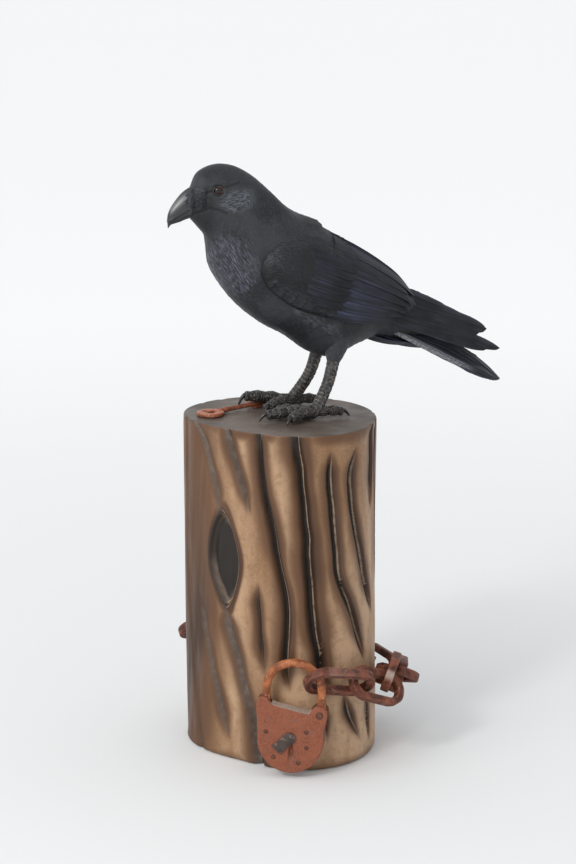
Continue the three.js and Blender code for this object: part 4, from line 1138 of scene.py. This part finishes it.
BACK_GROOVES = {"count": 7, "from": 18, "step": 21, "sway": 5, "width": 7, "depth": 5.5, "grey": 0.3,
                "tops": (304, 262, 304), "feet": (42, -4, 96, 20)}
KNOT = {"angle": -139.5, "z": 183, "half": 21, "tall": 41, "depth": 4.5, "lean": 0.02, "radius": 82}
TOP_SHALLOW = 0.3
# How far from a groove's line the distance to it is still painted by
NEAR_LINE = 4.0
FOOT_ROUND, TOP_ROUND = 3.2, 1.4
FOOT_HEIGHTS, TOP_HEIGHTS = [0, 0.8, 1.8, 3], [297, 298.2, 299.2, 299.8, 300]
# The rings of the sawn top, as shares of the log's radius
TOP_RINGS = (0.985, 0.9, 0.7, 0.45, 0.2, 0.05)


def log_radius(angle, z):
    def at(shape):
        radius, waves = shape
        for k, (size, turn) in enumerate(waves):
            radius = radius + size * np.cos((k + 1) * np.radians(angle - turn))
        return radius

    return lerp(at(LOG_FOOT), at(LOG_TOP), z / LOG_HEIGHT)


def back_grooves():
    made = []
    for k in range(BACK_GROOVES["count"]):
        angle = BACK_GROOVES["from"] + k * BACK_GROOVES["step"]
        top, foot = BACK_GROOVES["tops"][k % 3], BACK_GROOVES["feet"][k % 4]
        sway = [BACK_GROOVES["sway"] * math.sin(i / 3 * 4 + k * 1.7) for i in range(4)]
        path = [(angle + sway[i], lerp(top, foot, i / 3)) for i in range(4)]
        made.append((BACK_GROOVES["width"] + k % 3, BACK_GROOVES["depth"], BACK_GROOVES["grey"], path))
    return made


def groove_relief(angle, z, radius):
    """Relief of the carved grooves, the paint tones beside them and the place of each one's fine line."""
    depth, lip, shade, deep, grey, strong = (np.zeros(angle.shape) for _ in range(6))
    line = np.full(angle.shape, NEAR_LINE)
    for k, (width, down, pale, path) in enumerate([*GROOVES, *back_grooves()]):
        track = run(path, np.linspace(0, 1, 120))
        high, low = max(p[1] for p in path), min(p[1] for p in path)
        order = np.argsort(track[:, 1])
        centre = np.interp(z, track[order, 1], track[order, 0]) + 0.35 * noise(z / 15, 0 * z, 30 + k)
        d = np.radians((angle - centre + 180) % 360 - 180) * radius
        # How much of the groove there is at this height: it thins out at both of its ends
        here = 1 if high > LOG_HEIGHT else ease(high + 1, high - 26, z)
        here = here * (1 if low < 0 else ease(low - 2, low + 34, z))
        wide = width * lerp(0.5, 1, here)
        # A long slope on the left and a steep wall on the right
        slope = np.clip(1 + d / (wide * 0.95), 0, 1)
        cut = np.where(d < 0, slope ** 2 * (3 - 2 * slope), 1 - ease(0, 0.24, d / wide))
        depth = np.maximum(depth, down * here * cut * lerp(TOP_SHALLOW, 1, ease(303, 276, z)))
        lip = np.maximum(lip, here ** 2 * 0.8 * bell((d - wide * 0.36) / (wide * 0.17)))
        breadth = wide * (1.0 + 0.22 * noise(z / 26, 0 * z + k, 50))
        beside = np.where(d < 0, d / (breadth * 1.28), d / (breadth * 0.82))
        shade = np.maximum(shade, here ** 0.6 * bell(beside, 1.4))
        black = np.where(d < 0, (d + wide * 0.12) / (breadth * 0.36), d / (wide * 0.12))
        deep = np.maximum(deep, here ** 0.7 * bell(black, 2.2) * lerp(1, 0.35, pale) * ease(4, 9, wide))
        strip = ease(-0.92, -0.35, d / wide) * ease(0.02, -0.2, d / wide)
        grey = np.maximum(grey, strip * pale * here)
        near = (np.abs(d) < np.abs(line)) & (np.abs(d) < NEAR_LINE)
        line = np.where(near, d, line)
        strong = np.where(near, here ** 1.6 * ease(NEAR_LINE, 0.7 * NEAR_LINE, np.abs(d)), strong)
    return depth, lip, shade, deep, grey, line, strong


def knot_field(angle, z):
    """Distance from the middle of the knot, 1 at its pointed oval edge, and millimetres to its right."""
    side = np.radians(angle - KNOT["angle"] + (z - KNOT["z"]) * KNOT["lean"]) * KNOT["radius"]
    up = (z - KNOT["z"]) / KNOT["tall"]
    pinch = np.maximum(1 - 0.3 * np.minimum(np.abs(up), 1) ** 1.5, 0.2)
    return np.hypot(side / (KNOT["half"] * pinch), up), side


def log_side(paint):
    front, back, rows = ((330, 110, 198))
    parts = ((-190, 10, front), (10, 170, back))
    angles = np.concatenate([np.linspace(*part, endpoint=False) for part in parts])
    heights = np.concatenate([FOOT_HEIGHTS, np.linspace(4.5, 295.5, rows), TOP_HEIGHTS])
    angle, z = np.meshgrid(angles, heights)
    turn = np.radians(angle)
    radius = log_radius(angle, z)
    depth, lip, shade, deep, grey, line, strong = groove_relief(angle, z, radius)
    knot, side = knot_field(angle, z)
    inside, outside = ease(1.03, 0.84, knot), ease(0.98, 1.14, knot)
    right = ease(-5, 7, side)

    # Relief: grooves, the knot's bowl and its lip, slow waves and the rounded edges of foot and top
    bowl = KNOT["depth"] * inside * (1 - 0.35 * ease(0.85, 0.3, knot))
    depth = np.maximum(depth * outside, bowl)
    lip = np.maximum(lip * outside, 1.5 * bell((knot - 1.1) / 0.09) * right)
    waves = 1.2 * noise_round(turn, 4, z / 110, 1) + 0.3 * noise_round(turn, 18, z / 35, 2)
    bevel = 2.6 * (1 - round_end(FOOT_ROUND - z, FOOT_ROUND))
    bevel += 1 - round_end(z - LOG_HEIGHT + TOP_ROUND, TOP_ROUND)
    inset = ease(0, 9, z) * ease(300, 291, z)
    shade = shade * outside
    r = radius + 0.1 - depth + (lip + waves - 1.3 * shade) * inset - bevel
    grid = vec(r * np.cos(turn), r * np.sin(turn), z)

    # Brown paint: beside grooves, round the knot, under the top, at the foot and down the left side
    shade = np.maximum(shade, bell((knot - 1.0) / 0.3) * (knot > 1))
    shade = np.maximum(shade, ease(282, 299, z) * (0.42 + 0.3 * noise_round(turn, 4, z / 40, 6)))
    shade = np.maximum(shade, 0.4 * ease(14, 0, z))
    from_left = np.abs(angle % 360 - 180)
    shade = np.maximum(shade, 0.62 * ease(56, 8, from_left) + 0.26 * noise_round(turn, 2, z / 80, 16))

    # Black paint in the grooves, in the knot and on the left half of its rim, with a line to its right
    rim_black = bell((knot - 0.96) / 0.07) * (1 - right)
    dark = np.maximum(deep * outside, np.maximum(0.9 * inside, rim_black))
    dark = np.maximum(dark, 0.5 * bell((knot - 1.24) / 0.09) * right)

    # Grey walls in four grooves and inside the knot's rim
    wall = ease(0.72, 0.84, knot) * ease(1.0, 0.93, knot)
    low_left = ease(-2, -9, side) * ease(6, -14, z - KNOT["z"])
    high = ease(-16, 12, z - KNOT["z"])
    grey = np.maximum(grey * outside, wall * np.maximum(0.75 * right * (0.35 + 0.65 * high), 0.5 * low_left))

    # The fine lines at the grooves' bottoms and along the right of the knot's rim
    rim_line = (knot - 1.02) * KNOT["half"]
    on_rim = ease(NEAR_LINE, 0.7 * NEAR_LINE, np.abs(rim_line)) * right
    line = np.where((knot < 1.3) & (right > 0.05), np.clip(rim_line, -NEAR_LINE, NEAR_LINE), line)
    strong = np.where(knot < 1.3, on_rim, strong)

    rings = [*grid]
    for step in TOP_RINGS:
        last = grid[-1] * np.array([step, step, 1])
        sunk = np.minimum(0.25 * noise(angles / 9, 0 * angles + step * 7, 4) - 0.15, 0)
        last[:, 2] = LOG_HEIGHT + (sunk if step < TOP_RINGS[0] else 0)
        rings.append(last)
    top = np.zeros((len(TOP_RINGS), len(angles), 3))
    flow = np.concatenate([vec(z > 299.5, line, strong), top + np.array([1, 0, 0])])
    tone = np.concatenate([vec(shade, dark * (1 - 0.6 * grey), grey), top])
    shells = Shells()
    shells.add_rings(np.array(rings), flow, tone)
    log = shells.build("log_side", paint, "bark_paint")
    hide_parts("log")


# The key: ring bow with a lobed hole, round shank with a collar, and a bit that props up its end
KEY = {"bow": (-61.8, 5, LOG_HEIGHT + GAP), "turn": 38, "tilt": 2.2, "bow_radius": 12, "thick": 3.5,
       "hole": 4.3, "lobe": 3.2, "shank": 2.2, "lift": 0.4, "length": 60, "collar": 16.8,
       "bit": (11, 8.5, 2.6)}
BOW_ROUND = 1.1
place_key = placer(KEY["turn"], KEY["bow"])


def rounded(low, high):
    """A section of the bow from its hole to its rim with rounded corners, as (across, up) pairs."""
    left, right, top = low + BOW_ROUND, high - BOW_ROUND, KEY["thick"] - BOW_ROUND
    corners = ((right, BOW_ROUND, -90), (right, top, 0), (left, top, 90), (left, BOW_ROUND, 180))
    turns = [(x, z, math.radians(start + 22.5 * i)) for x, z, start in corners for i in range(5)]
    return [(x + BOW_ROUND * math.cos(turn), z + BOW_ROUND * math.sin(turn)) for x, z, turn in turns]


def box_shell(shells, size, middle, bevel=0.5):
    """A block with its edges taken off."""
    hx, hy, hz = (v / 2 for v in size)
    ring = []
    for sx, sy in ((1, 1), (-1, 1), (-1, -1), (1, -1)):
        ends = [(hx, hy - bevel), (hx - bevel, hy)][::sx * sy]
        ring += [(sx * ex, sy * ey) for ex, ey in ends]
    rings = []
    for z, inset in ((-hz, bevel), (-hz + bevel, 0), (hz - bevel, 0), (hz, bevel)):
        rings.append([(x - math.copysign(inset, x), y - math.copysign(inset, y), z) for x, y in ring])
    rings = np.array(rings) + np.array(middle)
    # A little of the painted edge highlight over the whole block
    shells.add_rings(rings, None, np.zeros(rings.shape) + np.array([0.25, 0, 0]))


def carved_key(paint):
    shells = Shells()
    rings = []
    for turn in circle(96):
        hole = KEY["hole"] + KEY["lobe"] * abs(math.cos(turn * 1.5)) ** 2
        section = rounded(hole, KEY["bow_radius"] + 0.15 * math.sin(turn * 5))
        rings.append([(x * math.cos(turn), x * math.sin(turn), z) for x, z in section])
    rings = np.array(rings)
    # The top of the bow gets the painted edge highlight
    shells.add_rings(rings, None, vec(0.7 * (rings[..., 2] > KEY["thick"] - 0.9), 0, 0), closed=True)
    start, long = KEY["bow_radius"] - 2.5, KEY["length"]
    rise = math.tan(math.radians(KEY["tilt"]))
    along = np.linspace(start, long, 60)
    radii = KEY["shank"] * (1 - 0.05 * (along > 20) + 0.22 * bell((along - KEY["collar"]) / 1.5, 4))
    radii = radii * round_end(along - long + 1.5, 1.6, 0.05)
    path = vec(along, 0, KEY["shank"] + KEY["lift"] + (along - start) * rise)
    shells.add_rings(Tube(path, radii, 28).rings())
    bit, tall, thick = KEY["bit"]
    x = long - 3 - bit / 2
    top = KEY["shank"] + KEY["lift"] + (x - start) * rise
    box_shell(shells, (bit, thick, top), (x, 0, top / 2))
    for reach, wide, way in ((tall - 3, bit, 1), (tall, bit * 0.36, -1), (tall, bit * 0.36, 1)):
        box_shell(shells, (wide, reach, thick), (x + (bit - wide) / 2 * way, reach / 2, top - 0.2))
    key = shells.build("carved_key", paint, "key_paint", place_key)
    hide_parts("key")


# The padlock: origin on its front face, x to the right, z up its face, turned a little to the left
LOCK = {"place": (9.1, -89.5, 36.4), "yaw": -8, "ears": (-23.4, 25.7), "slot": 8, "dip": 13}
LOCK_OUTLINE = [
    (-28.4, -1), (-28.8, 14), (-29.8, 28), (-28.6, 34.6), (-24.4, 37.2), (-19.6, 36), (-17.2, 31),
    (-14.2, 29.2), (2, 25.4), (16.4, 22.4), (18.4, 27), (22.4, 30.2), (27.6, 30), (32, 26.4), (32, 20),
    (29.2, 9), (28.8, -2),
]
LOCK_BOTTOM = {"middle": (0, -2), "across": 28.6, "down": 29.4}
LOCK_BEVEL = 1.3
# The saddle between the ears, with its pale strip
SADDLE_LOW, SADDLE_HALF = 20, 18
# Small rivets, and the larger pin in the right ear, each with its radius and how proud it is
LOCK_RIVETS = [(-21, 5.4), (14.2, 6.4), (14.2, -7.8), (-14.4, -17.4), (7.2, -21.6)]
RIVET_SIZE = (2.1, 0.55)
EAR_PIN = (25.4, 22)
PIN_SIZE = (3.4, 0.9)
# A rivet's profile: share of its radius, share of its height or depth behind the face, and its dark ring
RIVET_FACE = [(0.02, 1, 0.15), (0.4, 0.96, 0.25), (0.7, 0.7, 0.45), (0.92, 0.2, 0.95)]
RIVET_FOOT = [(1.0, 0.25, 1), (1.0, 1.2, 1)]
# What is sawn out of the case: a slot in each ear, as x, top and width, and the keyhole
EAR_SLOTS = [(LOCK["ears"][0], 37.5, 13.4), (LOCK["ears"][1], 31, 15.2)]
KEYHOLE = {"x": 0.6, "z": -9.5, "wide": 3.4, "tall": 9, "deep": 5}
COVER = {"pivot": (-0.2, 0.6), "length": 16.4, "half": 5, "turn": 222, "thick": 2.2}
# The cover's rings: size, share of the thickness in front of the case, and how pale its edge is, a painted
# highlight
COVER_STEPS = [(0.86, 1, 0.1), (0.95, 0.93, 0.8), (1, 0.7, 0.7), (1, 0, 0), (0.98, 0, 0)]
SHACKLE = {"foot": (26.5, 22), "spring": 42, "top": 62.6, "inset": (1.6, 0.8)}
place_lock = placer(LOCK["yaw"], LOCK["place"])


def lock_outline():
    """The outline of the case, densely spaced, with its corners softened."""
    (x, z), across, down = LOCK_BOTTOM.values()
    turns = [math.pi * i / 40 for i in range(1, 40)]
    corners = [(x + across * math.cos(turn), z - down * math.sin(turn)) for turn in turns] + LOCK_OUTLINE
    looped = np.array([*corners, corners[0]])
    along = np.concatenate([[0], np.cumsum(np.linalg.norm(np.diff(looped, axis=0), axis=1))])
    places = np.linspace(0, along[-1], 320, endpoint=False)
    line = vec(*(np.interp(places, along, looped[:, k]) for k in (0, 1)))
    for _ in range(3):
        line = (np.roll(line, 1, 0) + 2 * line + np.roll(line, -1, 0)) / 4
    return line


def lock_case(paint):
    line = lock_outline()
    ahead = np.roll(line, -1, 0) - np.roll(line, 1, 0)
    away = unit(vec(ahead[:, 1], -ahead[:, 0]))
    away *= np.sign((away * (line - line.mean(0))).sum())
    # Rings from the front face to the back: how far in from the outline, how deep, and on which part
    small = [LOCK_BEVEL * (1 - math.sin(math.radians(18 * i))) for i in range(6)]
    large = [LOCK_BEVEL * (1 - math.cos(math.radians(18 * i))) for i in range(6)]
    steps = [(inset, depth, "front") for inset, depth in zip(small, large)]
    steps += [(0, depth, "side") for depth in np.linspace(1.6 * LOCK_BEVEL, CASE_THICK - 1.6 * LOCK_BEVEL, 7)]
    steps += [(inset, CASE_THICK - rise, "back") for inset, rise in zip(large, small)]
    rings, tones = [], []
    for inset, depth, part in steps:
        x, z = (line - away * inset).T
        dent = 0.18 * noise(x / 7 + depth, z / 7, 14) if part != "side" else 0
        saddle = (z > SADDLE_LOW) & (np.abs(x) < SADDLE_HALF) & (depth > 0.8)
        rings.append(vec(x, depth + dent, z))
        # The front bevel gets the painted edge highlight
        edge = 0.85 if part == "front" else 0
        tones.append(vec(edge, 0, saddle * (0.75 + 0.25 * noise(x * 0.9, z + depth, 4))))
    shells = Shells()
    shells.add_rings(np.array(rings), None, np.array(tones))
    case = shells.build("padlock_body", paint, "padlock_paint", place_lock)
    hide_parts("padlock_case")
    cut_case(case)
    rivets = Shells()
    for place in LOCK_RIVETS:
        add_rivet(rivets, *place, *RIVET_SIZE)
    add_rivet(rivets, *EAR_PIN, *PIN_SIZE)
    rivets.build("padlock_rivets", paint, "padlock_paint", place_lock)


def add_rivet(shells, x, z, radius, proud):
    """A peened rivet head in a dark ring."""
    profile = [(r, -proud * up, dark) for r, up, dark in RIVET_FACE] + RIVET_FOOT
    r, y, dark = np.array(profile).T[..., None]
    turn = circle(24)[None]
    shells.add_rings(vec(x + radius * r * np.cos(turn), y, z + radius * r * np.sin(turn)), None,
                     vec(0, dark + 0 * turn, 0))


def cut_case(case):
    """Saw the slots that the shackle goes down in, and the keyhole."""
    cutters = Shells()
    for x, top, wide in EAR_SLOTS:
        box_shell(cutters, (wide, LOCK["slot"], LOCK["dip"] * 2), (x, CASE_THICK / 2, top), bevel=0.4)
    size = [KEYHOLE[key] for key in ("wide", "deep", "tall")]
    box_shell(cutters, size, (KEYHOLE["x"], 0, KEYHOLE["z"]), bevel=0.8)
    tool = cutters.build("saw", case.data.materials[0], "padlock_paint", place_lock)
    cut = case.modifiers.new("saw", "BOOLEAN")
    cut.operation = "DIFFERENCE"
    cut.solver = "EXACT"
    cut.object = tool
    graph = bpy.context.evaluated_depsgraph_get()
    done = bpy.data.meshes.new_from_object(case.evaluated_get(graph))
    case.modifiers.clear()
    case.data = done
    bpy.data.objects.remove(tool)


def keyhole_cover(paint):
    half, long = COVER["half"], COVER["length"]
    outline = [(half * math.cos(a), half * math.sin(a)) for a in np.linspace(math.pi / 2, math.pi * 1.5, 24)]
    outline += [(x, -half) for x in np.linspace(1, long, 12)]
    outline += [(long, y) for y in np.linspace(-half + 1, half - 1, 8)]
    outline += [(x, half) for x in np.linspace(long, 1, 12)]
    centre = np.array([long / 2 - half / 2, 0])
    turn = math.radians(COVER["turn"])
    rings, tones = [], []
    for size, proud, pale in COVER_STEPS:
        x, z = leaned(*((np.array(outline) - centre) * size + centre).T, -turn)
        rings.append(vec(x + COVER["pivot"][0], -COVER["thick"] * proud - GAP, z + COVER["pivot"][1]))
        tones.append(vec(pale + 0 * x, 0, 0))
    shells = Shells()
    shells.add_rings(np.array(rings), None, np.array(tones))
    cover = shells.build("keyhole_plate", paint, "cover_paint", place_lock)
    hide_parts("keyhole_cover")


def shackle(paint):
    left, right = (ear + inset for ear, inset in zip(LOCK["ears"], SHACKLE["inset"]))
    half, middle = (right - left) / 2, (left + right) / 2
    spring, top = SHACKLE["spring"], SHACKLE["top"] + SHACKLE_BAR / 2
    (left_foot, right_foot), turn = SHACKLE["foot"], np.linspace(math.pi, 0, 90)
    y = CASE_THICK / 2
    path = np.vstack([
        vec(left, y, np.linspace(left_foot, spring, 14, endpoint=False)),
        vec(middle + half * np.cos(turn), y, spring + (top - spring) * np.sin(turn)),
        vec(right, y, np.linspace(spring, right_foot, 18)[1:]),
    ])
    s = np.linspace(0, 1, len(path))
    tube = Tube(path, SHACKLE_BAR / 2 + 0.12 * noise(s * 24, 0 * s, 5), 28, up=(0, 1, 0))
    shells = Shells()
    shells.add_rings(tube.rings(0.16 * noise(tube.length / 5, tube.turn * 1.2, 6)))
    loop = shells.build("shackle_loop", paint, "shackle_paint", place_lock)
    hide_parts("padlock_shackle")


# The chain: the five links that show, as middle, length way, width way, half length and half width
FRONT_LINKS = [
    ((51.2, -80.8, 85), (0.912, 0.373, -0.172), (-0.369, 0.559, -0.743), 29, 13.5),
    ((83.8, -61.8, 75.2), (0.812, 0.462, -0.358), (-0.02, 0.635, 0.772), 25, 12),
    ((97.2, -38.3, 80.6), (0.143, 0.989, 0.032), (-0.32, 0.077, -0.944), 20, 12),
    ((102.9, -27, 74.8), (-0.597, 0.768, -0.232), (0.755, 0.44, -0.487), 20, 10.3),
    ((105.4, -7.8, 68.3), (0.042, 0.993, -0.107), (-0.364, -0.085, -0.928), 23, 11.5),
]
BACK_LINKS = {"count": 7, "half_length": 24.5, "half_width": 12, "joint": 12.5, "arc": (5, 140),
              "heights": [60, 57, 64, 72, 79, 84], "stand_off": [21, 17.5, 15.5, 15, 15, 15], "roll": 22,
              "roll_step": 3.4}
# Pale worn spots on the links: along and across from a link's middle
WORN_SPOTS = {0: (-14, -13.5), 2: (-22, -5)}
NO_SPOT = (99, 99)
# The bar's section is a squarish oval of this power
BAR_POWER = 6


def back_place(angle):
    """Where the chain behind the log passes at an angle."""
    start, end = BACK_LINKS["arc"]
    t = (angle - start) / (end - start)
    z = float(run(BACK_LINKS["heights"], t))
    r = log_radius(angle, z) + float(run(BACK_LINKS["stand_off"], t))
    return np.array([r * math.cos(math.radians(angle)), r * math.sin(math.radians(angle)), z])


def chain_places():
    """Every link as middle, along, across, half length, half width."""
    links = [tuple(map(np.array, link[:3])) + link[3:] for link in FRONT_LINKS]
    long = BACK_LINKS["half_length"]
    for k in range(BACK_LINKS["count"]):
        middle, along, _across, last_long, _width = links[-1]
        joint = middle + along * (last_long - BACK_LINKS["joint"])
        low = math.degrees(math.atan2(joint[1], joint[0]))
        high = low + 40
        for _ in range(24):
            guess = (low + high) / 2
            short = np.linalg.norm(back_place(guess) - joint) < long
            low, high = (guess, high) if short else (low, guess)
        centre = back_place(low)
        ahead = unit(centre - joint)
        level = unit(np.cross((0, 0, 1), ahead))
        roll = math.radians(BACK_LINKS["roll"] + BACK_LINKS["roll_step"] * k + (k % 2) * 90)
        across = level * math.cos(roll) + np.cross(ahead, level) * math.sin(roll)
        links.append((centre, ahead, across, long, BACK_LINKS["half_width"]))
    return links


def chain(paint):
    turns = circle(96) + 0.0327
    t, s = turns[:, None], circle(32)[None]
    grow, lift = (
        LINK_BAR[way] / 2 * np.sign(wave) * np.abs(wave) ** (2 / BAR_POWER)
        for way, wave in (("across", np.cos(s)), ("deep", np.sin(s)))
    )
    # The bar's four corners get the painted edge highlight
    corner = np.abs(grow * lift / (LINK_BAR["across"] * LINK_BAR["deep"] / 4)) ** 3
    for k, (middle, along, across, half_length, half_width) in enumerate(chain_places()):
        deep = unit(np.cross(along, across))
        wide = np.cross(deep, unit(along))
        # Knife cuts leave flat facets on the bar
        facet = np.round(3 * noise(t * 3.2 + k, s * 0.8, 60 + k)) / 3
        knife = 1 - 0.055 * (facet + 1) - 0.02 * noise(t * 14, s * 3, 80 + k)
        x = np.sign(np.cos(t)) * (half_length - half_width) + (half_width + grow * knife) * np.cos(t)
        y = (half_width + grow * knife) * np.sin(t)
        rings = middle + along * x[..., None] + wide * y[..., None] + deep * (lift * knife)[..., None]
        spot_x, spot_y = WORN_SPOTS.get(k, NO_SPOT)
        worn = 0.55 * bell(np.hypot(x - spot_x, 0.6 * (y - spot_y)) / 2.6, 4) * (grow > 0)
        shells = Shells()
        shells.add_rings(rings, None, vec(0.9 * corner, 0, worn), closed=True)
        name = f"link_{k + 1:02d}"
        link = shells.build(name, paint, "chain_paint")
        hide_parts("chain_" + name)


# The stage: an 80 metre square floor, so that its edge is never in view. It is painted darker near the
# carving and paler far off, a painted shade round it
FLOOR_HALF = 40
FLOOR_NEAR = (0.81, 0.82, 0.825)
FLOOR_FAR = (0.985, 0.988, 0.99)
FLOOR_REACH = (250, 2400)
FLOOR_DROP = 0.0004
# Height up the sky, and how bright it is there
SKY_RISE = (0.05, 0.3, 0.97, 0.8)
SKY_COLOR = (0.97, 0.985, 1, 1)
SUN = {"energy": 0.85, "angle": math.radians(55), "color": (1, 0.985, 0.96)}
SUN_FROM = (-1.35, -1.5, 1.35)
WINDOW = {"size": 0.42, "energy": 20, "color": (1, 0.99, 0.97)}
WINDOW_FROM, WINDOW_TO = (-1.3, -1.9, 1.7), (0, 0, 0.3)
# The photograph's view: a long lens, a little above the bird, looking slightly down
CAMERA = {"place": (0.006, -2.046, 0.744), "pitch": 12.6, "roll": 0.3, "lens": 100, "sensor": 36, "reach": 20}


def stage():
    """A wide pale floor, soft daylight from the upper left in front, and sky light all round."""
    paint = Paint("floor_paint", FLOOR_NEAR, 0.85)
    # Darker paint near the middle: painted shade round the carving
    color = paint.places().length().curve(*FLOOR_REACH).mix(FLOOR_NEAR, FLOOR_FAR)
    mesh = bpy.data.meshes.new("floor")
    corners = [(x * FLOOR_HALF, y * FLOOR_HALF, 0) for x, y in ((-1, -1), (1, -1), (1, 1), (-1, 1))]
    mesh.from_pydata(corners, [], [(0, 1, 2, 3)])
    mesh.materials.append(paint.finish(color))
    floor = add_object("floor", mesh)
    floor.location.z = -FLOOR_DROP
    add_lamp("daylight", "SUN", SUN, SUN_FROM, (0, 0, 0))
    add_lamp("window", "AREA", WINDOW, WINDOW_FROM, WINDOW_TO)
    world = bpy.data.worlds.new("studio")
    bpy.context.scene.world = world
    world.use_nodes = True
    nodes, links = world.node_tree.nodes, world.node_tree.links
    toward, parts, rise = (nodes.new("ShaderNode" + kind) for kind in ("TexCoord", "SeparateXYZ", "MapRange"))
    links.new(toward.outputs["Generated"], parts.inputs[0])
    links.new(parts.outputs["Z"], rise.inputs["Value"])
    for name, value in zip(("From Min", "From Max", "To Min", "To Max"), SKY_RISE):
        rise.inputs[name].default_value = value
    links.new(rise.outputs["Result"], nodes["Background"].inputs["Strength"])
    nodes["Background"].inputs["Color"].default_value = SKY_COLOR
    bpy.context.scene.view_settings.view_transform = "Standard"


def add_lamp(name, kind, values, place, target):
    lamp = bpy.data.lights.new(name, kind)
    for key, value in values.items():
        setattr(lamp, key, value)
    thing = add_object(name, lamp)
    thing.location = place
    thing.rotation_euler = (Vector(target) - Vector(place)).to_track_quat("-Z", "Y").to_euler()


def camera():
    data = bpy.data.cameras.new("camera")
    data.lens = CAMERA["lens"]
    data.sensor_width = CAMERA["sensor"]
    data.clip_end = CAMERA["reach"]
    thing = add_object("camera", data)
    thing.location = CAMERA["place"]
    pitch = Matrix.Rotation(math.radians(90 - CAMERA["pitch"]), 3, "X")
    roll = Matrix.Rotation(math.radians(CAMERA["roll"]), 3, "Z")
    thing.rotation_euler = (pitch @ roll).to_euler()
    bpy.context.scene.camera = thing


def main():
    camera()
    stage()
    # The feather paints' second argument is a painted brightness: lit and shaded copies of one paint
    feathers, blades, skin = feather_paint("raven_feathers", 1.4), blade_paint(), foot_paint()
    raven_body(feathers)
    raven_bill(bill_paint())
    # The bristles get a much lighter copy, painted light over the shade between them
    raven_bristles(feather_paint("raven_bristle_feathers_painted_lighter", 3.2))
    # The wing gets a darker copy, a painted shade
    raven_wings(feather_paint("raven_wing_feathers_painted_darker", 0.5))
    raven_flight_feathers(blades)
    raven_tail(blades)
    raven_legs(skin, claw_paint())
    raven_eyes(eye_paint(), lid_paint())
    log_side(bark_paint())
    carved_key(rust_paint("key_paint", (0.17, 0.05, 0.024), (0.33, 0.112, 0.06), (0.4, 0.19, 0.12),
                          roughness=0.4))
    lock_case(rust_paint("padlock_paint", (0.1, 0.031, 0.016), (0.185, 0.058, 0.03), (0.2, 0.08, 0.05), 0.6))
    keyhole_cover(rust_paint("cover_paint", (0.035, 0.025, 0.021), (0.07, 0.05, 0.042), (0.16, 0.11, 0.09)))
    shackle(rust_paint("shackle_paint", (0.18, 0.052, 0.018), (0.43, 0.145, 0.055), (0.46, 0.2, 0.11),
                       roughness=0.42))
    chain(rust_paint("chain_paint", (0.045, 0.016, 0.011), (0.19, 0.06, 0.034), (0.27, 0.13, 0.09), 0.64))


main()
